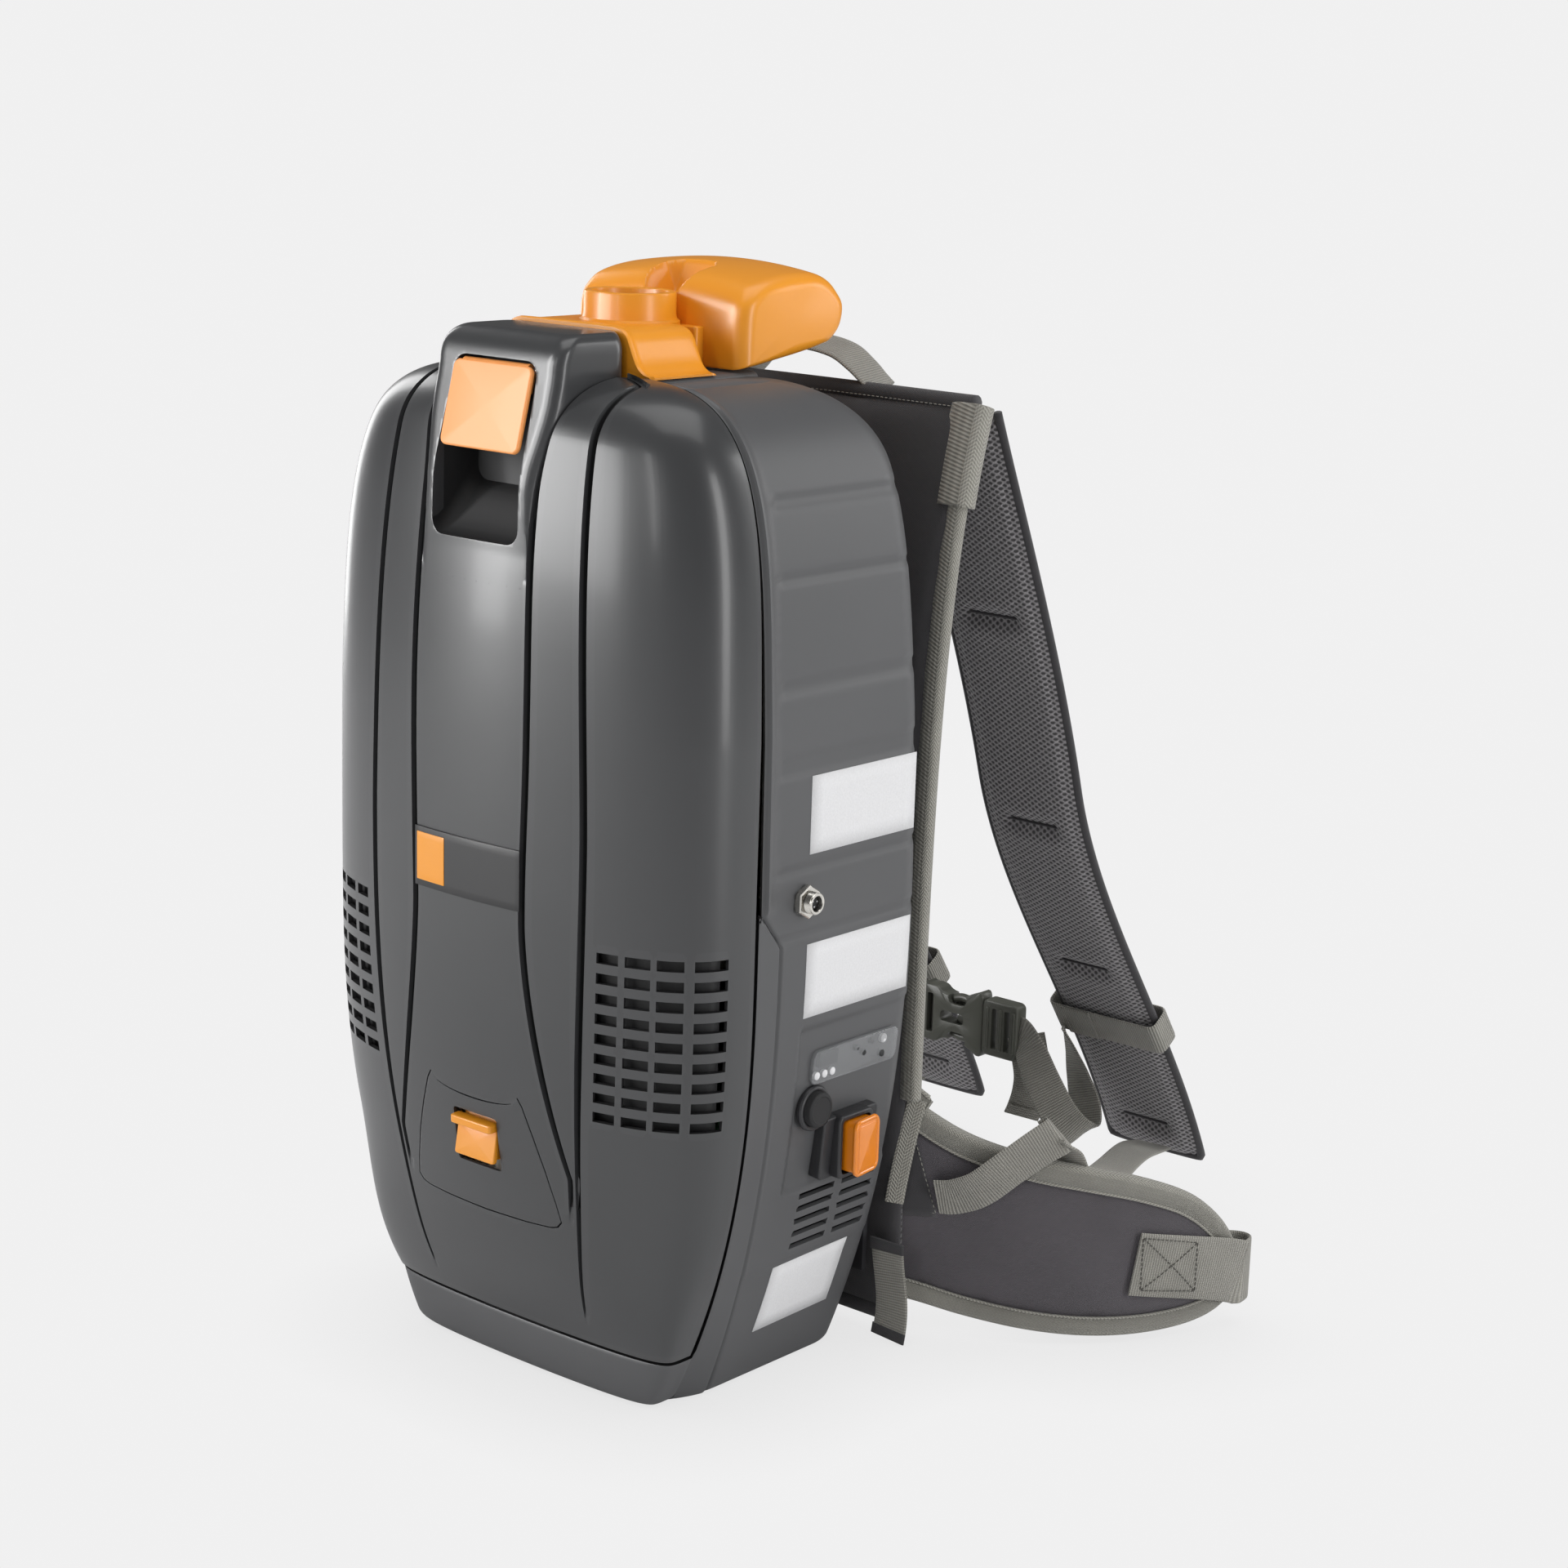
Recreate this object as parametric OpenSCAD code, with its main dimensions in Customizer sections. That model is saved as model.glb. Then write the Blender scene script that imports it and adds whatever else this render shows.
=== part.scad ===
// Battery backpack vacuum cleaner: moulded body, tilting front lid, hose inlet and carrying harness.
// The lid faces -Y, the wearer stands at +Y, and the vacuum rests on its base at Z = 0.
// Lengths are in millimetres and angles in degrees.

/* [Body] */
// Width of the body at its widest
body_w = 289; // [280:1:300]
// Height of the body shell without the hose inlet
body_h = 559; // [550:1:570]
// Depth of the lid in front of the parting plane
lid_depth = 70.7; // [66:0.5:75]
// Depth of the rear housing behind the parting plane
rear_depth = 143; // [138:1:150]
// Wall thickness of the moulded shells
wall = 3; // [2.5:0.5:3.5]

/* [Hose inlet] */
// Bore of the hose socket
socket_bore = 41; // [38:0.5:43]
// Outer diameter of the socket ring
socket_od = 50; // [48:0.5:52]
// Height of the rim of the socket
socket_top = 597.5; // [594:0.5:602]
// Depth of the socket down to the shoulder that stops the hose
socket_depth = 40; // [34:1:44]

/* [Controls] */
// Diameter of the speed button's cap
button_d = 20; // [16:0.5:22]
// Travel of the speed button
button_travel = 2.5; // [1.5:0.5:4]
// Tilt of the rocker switch at rest
rocker_tilt = 6; // [3:1:8]

/* [Motor] */
// Outer diameter of the motor housing
motor_d = 116; // [110:1:118]
// Diameter of the fan wheel
fan_d = 96; // [86:1:98]
// Diameter of the rotor shaft
shaft_d = 8; // [7:0.5:9]

/* [Harness] */
// Width of each shoulder strap
strap_w = 76; // [66:1:80]
// Thickness of each shoulder strap
strap_t = 14; // [10:1:16]
// Width of the back pad
pad_w = 260; // [250:2:264]
// Thickness of the hip wings
wing_t = 13; // [10:1:14]
// Width of the narrow webbing
webbing_w = 25; // [20:1:26]

/* [Hidden] */
$fn = 48;
half_w = body_w / 2;
gap = 1;                 // half of the gap between lid and housing
frame_y = 20.7;          // seam between front frame and rear housing
ear_top = 286;           // top of the front frame's side ears
chin_z = 29;             // top of the chin
lid_z = chin_z + 2;      // bottom edge of the lid
hinge_at = [-22, 27.5]; // lid hinge axis, Y and Z
barrel_w = 30;           // half length of the lid's hinge barrel
barrel_r = 4.9;
pin_d = 3;               // lid and handle pins
run = 0.06;              // running clearance on the diameter of a pin
levels = 24;             // levels in each shell
across = 22;             // steps across each section
charcoal = "#606264";
dark = "#2b2c2e";
orange = "#eca028";
taupe = "#807e74";
mesh_grey = "#4b484c";

// ---- Outline of the body: half width, front depth and rear depth at each height ----
low_z = 250;
high_z = 380;
// Share by which the base is narrower than the widest part
base_taper = 0.363;
function outline_low(z) = 1 - base_taper * pow((low_z - z) / low_z, 2.5);
function outline_high(z) = let (t = min(1, (z - high_z) / (body_h - high_z)))
    (1 - 0.04 * t) * pow(1 - pow(t, 4), 0.2);
// Half width of the body at the parting plane
function half_width(z) = half_w * (z < low_z ? outline_low(z) : z < high_z ? 1 : outline_high(z));
// Half width of the housing well behind the parting plane
function rear_half(z) = z < 290 ? half_w * (1 - 0.3 * pow((290 - z) / 290, 2.5)) : half_width(z);
function ease(t) = let (u = min(1, max(0, t))) 1 - (1 - u) * (1 - u);
// Depth of the lid's front at the middle, before its top and bottom edges are rounded
function front_depth(z) = lid_depth - (z < 350 ? 1.25e-6 * pow(350 - z, 3) : 1.87e-6 * pow(z - 350, 3));
top_round_z = body_h - 34;
function top_round(z) = z < top_round_z ? 1 :
    pow(1 - pow(min(1, (z - top_round_z) / (body_h - top_round_z)), 2.5), 0.4);
function bottom_round(z) = z > 80 ? 0 : 3.6 * pow((80 - z) / 50, 2);
function lid_front(z) = (front_depth(z) - bottom_round(z)) * top_round(z);
// Depth of the rear housing, with its rounded top edge
rear_round = 42;
function rear_flat(z) = z > 219 ? rear_depth - 16 * pow((z - 219) / 280, 2) :
    rear_depth - 9 * pow((219 - z) / 219, 1.5);
function rear_y(z) = let (t = min(1, max(0, (z - (body_h - 4 - rear_round)) / rear_round)))
    rear_flat(z) - rear_round * (1 - sqrt(1 - t * t));

// Height at which an inner surface follows the outline, so that walls keep their thickness at the ends
function inner_z(z, inset) = z + inset * (z > 400 ? (z - 400) / 155 : z < 100 ? (z - 100) / 100 : 0);
// Roundness of the lid's plan: full in the middle, squarer towards the base
function plan_power(z) = let (t = min(1, max(0, (130 - z) / 100))) 1 / 3 - 0.19 * t * t * (3 - 2 * t);
// One closed D-shaped section of the lid, from its left edge round the front to its right edge
function lid_section(z, inset) = let (h = inner_z(z, inset), w = half_width(h) - inset,
    d = lid_front(h) - inset)
    [for (i = [0:across]) let (a = 180 * i / across, x = -cos(a))
        [w * x, -gap - (d - gap) * pow(max(0, 1 - x * x), plan_power(h)), z]];
// One closed section of the housing behind y0, with rounded rear corners of radius r
function side_half(y, z) = half_width(z) + (rear_half(z) - half_width(z)) * ease(y / 30);
function housing_side(y0, z, inset, r) = let (h = inner_z(z, inset), b = rear_y(h) - inset)
    concat([for (i = [0:5]) let (y = y0 + (30 - y0) * i / 5) [side_half(y, h) - inset, y, z]],
        [for (i = [0:5]) let (a = 90 * i / 5)
            [rear_half(h) - inset - r + r * cos(a), b - r + r * sin(a), z]]);
function mirrored(points) = [for (i = [len(points) - 1:-1:0]) [-points[i].x, points[i].y, points[i].z]];
function housing_section(y0, z, inset, r) = let (right = housing_side(y0, z, inset, r))
    concat(right, mirrored(right));

// Solid through a stack of sections with equal numbers of points, wound anticlockwise from above.
// Each end is closed by a fan of triangles round the section's middle.
function middle(points) = [for (a = [0:2]) sum_of(points, a) / len(points)];
function sum_of(points, a) = [for (i = 0, t = 0; i <= len(points); t = t + (i < len(points) ?
    points[i][a] : 0), i = i + 1) t][len(points)];
module loft(sections) {
    n = len(sections[0]);
    m = len(sections);
    points = concat([for (s = sections) each s], [middle(sections[0]), middle(sections[m - 1])]);
    walls = [for (k = [0:m - 2], i = [0:n - 1]) let (j = (i + 1) % n)
        each [[k * n + i, (k + 1) * n + i, (k + 1) * n + j], [k * n + i, (k + 1) * n + j, k * n + j]]];
    caps = [for (i = [0:n - 1]) let (j = (i + 1) % n, top = (m - 1) * n)
        each [[m * n, i, j], [m * n + 1, top + j, top + i]]];
    polyhedron(points, concat(walls, caps), convexity = 4);
}
function level(i, z0, z1) = let (t = i / levels) z0 + (z1 - z0) * (t - 0.07 * sin(360 * t));

// Extrusions along X and Y of a profile drawn in the upright plane
module along_x(x0, x1) {
    translate([x0, 0, 0]) rotate([90, 0, 90]) linear_extrude(x1 - x0) children();
}
module along_y(y0, y1) {
    translate([0, y1, 0]) rotate([90, 0, 0]) linear_extrude(y1 - y0) children();
}
module box(x0, x1, y0, y1, z0, z1) {
    translate([x0, y0, z0]) cube([x1 - x0, y1 - y0, z1 - z0]);
}
module rounded_rect(w, h, r) {
    square([w - 2 * r, h], center = true);
    square([w, h - 2 * r], center = true);
    for (x = [-1, 1], y = [-1, 1]) translate([x * (w / 2 - r), y * (h / 2 - r)]) circle(r);
}
// Closed band of thickness t along an open path of 2D points
function normal_at(path, i) = let (a = path[max(0, i - 1)], b = path[min(len(path) - 1, i + 1)],
    d = (b - a) / norm(b - a)) [-d.y, d.x];
function offset_path(path, o) = [for (i = [0:len(path) - 1]) path[i] + o * normal_at(path, i)];
function reversed(list) = [for (i = [len(list) - 1:-1:0]) list[i]];
module band(path, t) {
    polygon(concat(offset_path(path, t / 2), reversed(offset_path(path, -t / 2))));
}
// Points on a smooth curve through four control points
function bezier(p, n) = [for (i = [0:n]) let (t = i / n, u = 1 - t)
    u * u * u * p[0] + 3 * u * u * t * p[1] + 3 * u * t * t * p[2] + t * t * t * p[3]];

// ---- Shells ----
top_z = body_h - 4;      // flat top of the housing
module housing_solid(inset) {
    z0 = inset;
    z1 = top_z - inset;
    loft([for (i = [0:levels]) let (z = level(i, z0, z1))
        housing_section(gap - (inset > 0 ? 3 : 0), z, inset, 18 - inset)]);
}
// Chin in front of the parting plane, below the lid
chin_front = 25.5;
function chin_section(z, inset) = let (w = side_half(gap, z) - inset,
    d = chin_front - 3 * pow(1 - z / chin_z, 2) - inset, y1 = gap + 0.5 + inset)
    [for (i = [0:across]) let (a = 180 * i / across, x = -cos(a))
        [w * x, y1 - (d + y1) * pow(max(0, 1 - x * x), plan_power(z)), z]];
module chin_solid(inset) {
    loft([for (i = [0:6]) chin_section(inset + (chin_z - inset) * i / 6, inset)]);
}
module front_zone(extra) {
    along_x(-200, 200) polygon([[-60, -1], [frame_y + extra, -1], [frame_y + extra, ear_top - 20],
        [gap + 4, ear_top + extra], [-60, ear_top + extra]]);
}
// Cylinder of radius r on the lid's hinge axis, reaching x to both sides
module hinge_cylinder(x, r) {
    translate([-x, hinge_at[0], hinge_at[1]]) rotate([0, 90, 0]) cylinder(r = r, h = 2 * x);
}
lug_w = 6;
module front_frame() {
    color(charcoal) difference() {
        union() {
            difference() {
                union() {
                    intersection() {
                        housing_solid(0);
                        front_zone(0);
                    }
                    chin_solid(0);
                }
                housing_solid(wall);
                difference() {
                    chin_solid(wall);
                    box(-200, 200, -60, 60, chin_z - 2, chin_z + 1);
                }
                box(-60, 60, -19, frame_y - 6, wall, chin_z - wall);
            }
            // Lugs that hold the ends of the hinge pin
            intersection() {
                chin_solid(0);
                for (s = [-1, 1]) let (x = s * (barrel_w + 0.3 + lug_w / 2))
                    box(x - lug_w / 2, x + lug_w / 2, -28, -14, 20, chin_z);
            }
        }
        hinge_cylinder(barrel_w + 0.3, barrel_r + 0.2);
        hinge_cylinder(barrel_w + lug_w + 4, (pin_d + run) / 2);
    }
}
module lid_hinge_pin() {
    color("#a7aaad") hinge_cylinder(barrel_w + lug_w, pin_d / 2);
}
button_x = 139;
bezel_d = 25.6;
window_y = [53, 126];
window_z = [181, 201];
button_at = [57, 168];
switch_at = [87, 142];
socket_at = [37.5, 289];
slot_rows = 5;
slot_pitch = 7.7;
plinth_top = 557;
inlet_y = 48;
tube_od = 46;
board_screws = [for (x = [-90, 90], z = [120, 440]) [x, z]];
module side_slots() {
    for (row = [0:slot_rows - 1], column = [0, 1])
        box(100, 160, 57 - 0.7 * row + 36.6 * column, 87 - 0.7 * row + 36.6 * column,
            113 - slot_pitch * row, 116.5 - slot_pitch * row);
}
module rear_housing() {
    color(charcoal) difference() {
        union() {
            difference() {
                union() {
                    housing_solid(0);
                    along_y(gap + 1.5, 94) polygon([[-60, 530], [60, 530], [60, plinth_top],
                        [-60, plinth_top]]);
                }
                housing_solid(wall);
                box(-56, 56, -3, 90, 520, plinth_top - wall);
                front_zone(0.15);
            }
            for (p = board_screws) translate([p.x, rear_flat(p[1]) - 14, p[1]]) rotate([-90, 0, 0])
                cylinder(d = 10, h = 13);
        }
        translate([0, inlet_y, 500]) cylinder(d = tube_od + 0.4, h = 70);
        for (p = board_screws) translate([p.x, 100, p[1]]) rotate([-90, 0, 0])
            cylinder(d = 4.1, h = 60);
        translate([100, socket_at[0], socket_at[1]]) rotate([0, 90, 0]) cylinder(d = 12.1, h = 60);
        translate([100, button_at[0], button_at[1]]) rotate([0, 90, 0]) cylinder(d = 22.1, h = 60);
        translate([button_x - 0.1, button_at[0], button_at[1]]) rotate([0, 90, 0])
            cylinder(d = bezel_d + 0.2, h = 20);
        box(100, 160, 69.9, 104.1, 125.9, 158.1);
        box(134, 160, window_y[0] - 0.1, window_y[1] + 0.1, window_z[0] - 0.1, window_z[1] + 0.1);
        side_slots();
    }
}
floor_z = 192;
module chamber_floor() {
    color(dark) difference() {
        box(-130, 130, 24, 132, floor_z, floor_z + 3);
        box(-58, 58, 34, 122, floor_z - 1, floor_z + 4);
    }
}
module filter_frame() {
    color(dark) difference() {
        box(-64, 64, 28, 128, floor_z - 14, floor_z - 0.2);
        box(-58, 58, 34, 122, floor_z - 15, floor_z + 1);
    }
}
module pre_filter() {
    color("#e8e6dc") box(-57.8, 57.8, 34.2, 121.8, floor_z - 13, floor_z - 1);
}

// ---- Hose inlet ----
saddle_w = 56;
saddle_top = 582;
saddle_y = [-0.5, 52];
shoulder = 9;
module saddle_profile(extra) {
    foot = saddle_w + extra;
    body = saddle_w - 3 - shoulder / 2 + extra;
    h = saddle_top + extra - plinth_top;
    translate([-foot, plinth_top + 0.1]) square([2 * foot, 2.9 + extra]);
    translate([0, plinth_top]) intersection() {
        rounded_rect(2 * body, 2 * h, shoulder);
        translate([-body, 0.1]) square([2 * body, h]);
    }
}
block_w = 126;
block_y = [70, 157];
block_top = 613;
crown_r = 296;
module block_side() {
    nose = 21;
    union() {
        polygon([[block_y[0], plinth_top + 1], [block_y[0] + 20, plinth_top + 1.2],
            [block_y[1] - nose + 6, 569], [block_y[1] - nose, block_top],
            [block_y[0] + 14, block_top - 4], [block_y[0], block_top - 18]]);
        translate([block_y[1] - nose, block_top - nose - 2]) circle(nose + 1);
        translate([block_y[0] + 14, block_top - 18]) circle(14);
    }
}
module hose_inlet() {
    color(orange) difference() {
        union() {
            along_y(saddle_y[0], saddle_y[1]) saddle_profile(0);
            along_y(saddle_y[0], saddle_y[0] + 3) saddle_profile(1);
            translate([0, inlet_y, saddle_top - 10]) cylinder(d = socket_od, h = socket_top - saddle_top + 10);
            translate([0, inlet_y, 524]) cylinder(d = tube_od, h = 40);
            box(-40, 40, 50, 72, plinth_top + 0.1, 580);
            difference() {
                intersection() {
                    along_x(-block_w / 2, block_w / 2) block_side();
                    translate([0, (block_y[0] + block_y[1]) / 2, 540]) linear_extrude(90)
                        rounded_rect(block_w, block_y[1] - block_y[0] + 2, 12);
                    translate([0, 300, block_top - crown_r]) rotate([90, 0, 0])
                        cylinder(r = crown_r, h = 400, $fn = 96);
                }
                translate([0, 0, 594]) linear_extrude(40)
                    polygon([[-17, 60], [17, 60], [14, 103], [-14, 103]]);
                box(-48, 48, 78, 136, plinth_top - 5, 566);
            }
        }
        translate([0, inlet_y, 500]) cylinder(d = socket_bore - 3, h = 120);
        translate([0, inlet_y, socket_top - socket_depth]) cylinder(d = socket_bore, h = 120);
    }
}
module inlet_seal() {
    color(dark) translate([0, inlet_y, 527]) difference() {
        cylinder(d = tube_od + 8, h = 6);
        translate([0, 0, -1]) cylinder(d = tube_od + 0.04, h = 8);
    }
}
module bag_collar() {
    color("#b89a68") difference() {
        box(-50, 50, 4, 98, 519, 523);
        translate([0, inlet_y, 515]) cylinder(d = 44, h = 10);
    }
}
bag_z = [206, 518];
bag_skin = 1.2;
module dust_bag() {
    color("#e4ddcb") difference() {
        bag_body(0);
        bag_body(bag_skin);
        translate([0, inlet_y, 480]) cylinder(d = 44, h = 60);
    }
}
// Plump oval body of the bag, a given distance inside its skin
module bag_body(inset) {
    steps = 8;
    translate([0, 36, 0]) loft([for (i = [0:steps])
        let (z = bag_z[0] + inset + (bag_z[1] - bag_z[0] - 2 * inset) * i / steps,
            s = 0.55 + 0.45 * sqrt(1 - pow(2 * i / steps - 1, 2)))
        [for (a = [0:18:342]) [(104 * s - inset) * cos(a), (76 * s - inset) * sin(a), z]]]);
}

// ---- Motor and fan on a vertical axis ----
motor_y = 64;
motor_z = 34;
module at_motor(z) {
    translate([0, motor_y, z]) children();
}
module ring(d_out, d_in, h) {
    difference() {
        cylinder(d = d_out, h = h);
        translate([0, 0, -1]) cylinder(d = d_in, h = h + 2);
    }
}
module motor_housing() {
    color(dark) at_motor(motor_z) difference() {
        cylinder(d = motor_d, h = 104);
        translate([0, 0, wall]) cylinder(d = fan_d + 6, h = 120);
        translate([0, 0, -1]) cylinder(d = 12, h = 10);
        for (a = [0:30:330]) rotate([0, 0, a]) translate([40, -4, 20]) cube([30, 8, 26]);
    }
    color(dark) at_motor(motor_z + wall - 0.5) ring(40, 22.02, 8.5);
    color(dark) at_motor(motor_z + 12) ring(fan_d + 7, 92.04, 8);
}
module motor_cover() {
    color(dark) at_motor(motor_z + 104.1) difference() {
        cylinder(d = motor_d, h = 4);
        translate([0, 0, -1]) cylinder(d = 46, h = 6);
    }
    color(dark) at_motor(motor_z + 60) difference() {
        cylinder(d = fan_d + 5.8, h = 4);
        translate([0, 0, -1]) cylinder(d = 14, h = 6);
        for (a = [0:45:315]) rotate([0, 0, a]) translate([38, 0, -1]) cylinder(d = 14, h = 6);
    }
    color(dark) at_motor(motor_z + 52) ring(30, 22.02, 8.5);
}
module motor_mounts() {
    color("#1c1c1c") at_motor(0) for (a = [45:90:315]) rotate([0, 0, a]) translate([46, 0, wall + 0.1])
        cylinder(d = 14, h = motor_z - wall - 0.2);
}
module motor_stator() {
    color("#8c8f93") at_motor(motor_z + 20.1) ring(92, 56, 30);
}
module motor_bearings() {
    color("#b4b7ba") for (z = [motor_z + 3.6, motor_z + 53]) at_motor(z) ring(22, shaft_d + 0.06, 7);
}
module rotor_shaft() {
    color("#a9adb1") at_motor(motor_z + 2) cylinder(d = shaft_d, h = 96);
    color("#a9adb1") at_motor(motor_z + 14) cylinder(d = 54, h = 36);
}
module fan_wheel() {
    color("#c3c6c8") at_motor(motor_z + 70) {
        ring(fan_d, shaft_d + 0.02, 3);
        ring(20, shaft_d + 0.02, 24);
        for (a = [0:40:320]) rotate([0, 0, a]) translate([9, -1, 2]) cube([fan_d / 2 - 10, 2, 17]);
        translate([0, 0, 18.9]) ring(fan_d, 50, 2);
    }
}

// ---- Battery and electronics ----
module battery_pack() {
    color("#26282a") difference() {
        box(-106, -66, 32, 118, 52, 168);
        for (z = [75:23:144]) box(-107, -104.5, 40, 110, z, z + 3);
    }
}
module battery_cradle() {
    color(dark) difference() {
        box(-108.5, -63.5, 29.5, 120.5, 38, 62);
        box(-106.2, -65.8, 31.8, 118.2, 51.8, 80);
    }
}
module control_board() {
    color("#2f6b46") box(72, 73.6, 30, 124, 50, 168);
    color("#303030") for (z = [62:26:140]) box(73.6, 84, 40, 58, z, z + 16);
    color("#303030") translate([73.6, 92, 100]) rotate([0, 90, 0]) cylinder(d = 18, h = 12);
}
module indicator_window() {
    color("#c9ccce", 0.6) box(134.5, half_w - 0.6, window_y[0], window_y[1], window_z[0], window_z[1]);
}
module button_bezel() {
    color("#1a1a1a") translate([button_x, button_at[0], button_at[1]]) rotate([0, 90, 0]) {
        ring(bezel_d, button_d + 0.1, 3);
        translate([0, 0, -17]) ring(22, button_d + 0.1, 17.5);
        translate([0, 0, -20]) cylinder(d = 22, h = 3);
    }
}
module speed_button() {
    color("#151515") translate([button_x - 17 + button_travel + 0.2, button_at[0], button_at[1]])
        rotate([0, 90, 0]) {
        cylinder(d = button_d, h = 22 - button_travel);
        translate([0, 0, 22 - button_travel - 0.1]) cylinder(d1 = button_d, d2 = button_d - 5, h = 2.5);
    }
}
switch_x = 139;
switch_y = [64, 110];
module switch_body() {
    color("#161616") difference() {
        union() {
            box(switch_x, switch_x + 2.5, switch_y[0], switch_y[1], 124, 160);
            box(switch_x, switch_x + 7, 73.5, 100.5, 125, 159);
            box(switch_x - 28, switch_x + 1, 70, 104, 126, 158);
        }
        box(switch_x - 12, switch_x + 20, 75, 99, 126.5, 157.5);
        translate([switch_x + 1, switch_at[0], 120]) cylinder(d = 3.06, h = 50);
        translate([button_x - 5, button_at[0], button_at[1]]) rotate([0, 90, 0])
            cylinder(d = bezel_d + 0.6, h = 20);
    }
}
module switch_rocker() {
    color("#e6820a") translate([switch_x + 1, switch_at[0], 0]) rotate([0, 0, rocker_tilt]) {
        translate([0, 0, 127]) linear_extrude(30) polygon([[-6, -6], [2, -10.2], [12, -10.6],
            [14, -9], [14, 9], [12, 10.6], [2, 10.2], [-6, 6]]);
        translate([0, 0, 125.2]) cylinder(d = 3, h = 33.6);
    }
}
module charge_socket() {
    color("#b9bcbe") translate([118, socket_at[0], socket_at[1]]) rotate([0, 90, 0]) difference() {
        cylinder(d = 12, h = 36);
        translate([0, 0, 28]) cylinder(d = 8.2, h = 10);
    }
    color("#b9bcbe") translate([half_w - 6.2, socket_at[0], socket_at[1]]) rotate([0, 90, 0])
        ring(16, 11, 2.4);
}
module socket_nut() {
    color("#c6c8ca") translate([half_w + 0.6, socket_at[0], socket_at[1]]) rotate([0, 90, 0])
        difference() {
        cylinder(d = 18.5, h = 4, $fn = 6);
        translate([0, 0, -1]) cylinder(d = 12.02, h = 6);
    }
}
module side_labels() {
    color("#efefef") box(half_w + 0.05, half_w + 0.35, 41, 129, 313.5, 357);
    color("#efefef") box(half_w + 0.05, half_w + 0.35, 41.5, 129.5, 221.5, 264);
    color("#efefef") translate([rear_half(58) + 0.6, 79, 58]) rotate([0, 15.5, 0])
        translate([0, -31, -20.5]) cube([0.3, 62, 41]);
}
// Screws through the harness board into the bosses of the housing
board_y = 145.2;
board_t = 3.5;
module housing_screws() {
    color("#9da0a3") for (p = board_screws) let (y0 = rear_flat(p[1]) - 10, y1 = board_y + board_t + 0.1)
        translate([p.x, y0, p[1]]) rotate([-90, 0, 0]) {
        cylinder(d = 4, h = y1 - y0 + 1);
        translate([0, 0, y1 - y0]) cylinder(d = 8, h = 2.4);
    }
}

// ---- Lid ----
vent_rows = 9;
vent_pitch = 10.6;
vent_top = 264;
head_w = 48;
head_top = 581;
head_bottom = 474;
square_z = [519, 565];
pin_at = [-50, 562];     // release handle's pivot, Y and Z
door_z = [102, 176];
latch_z = [134, 157];
module lid_solid(inset) {
    z0 = lid_z + inset;
    z1 = body_h - 0.6 - inset;
    loft([for (i = [0:levels]) let (z = level(i, z0, z1)) lid_section(z, inset)]);
}
module head_side(extra) {
    polygon([[-gap - 1.5, 500], [-gap - 1.5, head_top - extra], [-36 + extra, head_top - extra],
        [-44 + extra, head_top - 4 - extra], [-50 + extra, square_z[1] + 2 - extra],
        [-67 + extra, square_z[0] - 6], [-60 + extra, 470], [-40, 470]]);
}
// Raised head of the lid round the release handle
module head(extra) {
    intersection() {
        along_x(-head_w + extra, head_w - extra) head_side(extra);
        along_y(-80, 0) translate([0, 500])
            rounded_rect(2 * head_w - 2 * extra, 2 * (head_top - 500) - 2 * extra, 10);
    }
}
module lid_vents(side) {
    for (row = [0:vent_rows - 1], column = [0:3]) let (z = vent_top - vent_pitch * row,
        x = [91, 107, 122, 134][column], length = [14, 14, 13, 11][column],
        lean = [20, 34, 52, 72][column])
        translate([side * x, -lid_front(z) * pow(1 - pow(x / half_width(z), 2), 1 / 3), z])
            rotate([0, 0, side * lean]) cube([length, 26, 5.8], center = true);
}
module door_outline(extra) {
    polygon([[-33 - extra, door_z[1] + extra], [-55 - extra, door_z[0] + 6], [-50, door_z[0] + 2 - extra],
        [-25, door_z[0] - extra], [25, door_z[0] - extra], [50, door_z[0] + 2 - extra],
        [55 + extra, door_z[0] + 6], [33 + extra, door_z[1] + extra], [16, door_z[1] - 8 + extra],
        [-16, door_z[1] - 8 + extra]]);
}
module lid_shell() {
    color(charcoal) difference() {
        union() {
            difference() {
                union() {
                    lid_solid(0);
                    head(0);
                }
                translate([0, 1, 0]) lid_solid(wall);
                head(wall);
                box(-130, 130, -gap - 12, 10, lid_z - 1, lid_z + 4);
            }
            // Liner of the finger recess behind the release handle
            intersection() {
                union() {
                    lid_solid(0.3);
                    head(0.3);
                }
                box(-33, 33, -80, -34, head_bottom - 2.5, square_z[1] + 4.5);
            }
            hinge_cylinder(barrel_w, barrel_r);
        }
        box(-30.5, 30.5, -80, -36, head_bottom, square_z[1] + 2);
        lid_vents(1);
        lid_vents(-1);
        along_y(-90, -30) door_outline(0.8);
        translate([-40, pin_at[0], pin_at[1]]) rotate([0, 90, 0]) cylinder(d = pin_d + run, h = 80);
        hinge_cylinder(barrel_w + 1, (pin_d + run) / 2);
    }
}
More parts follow.
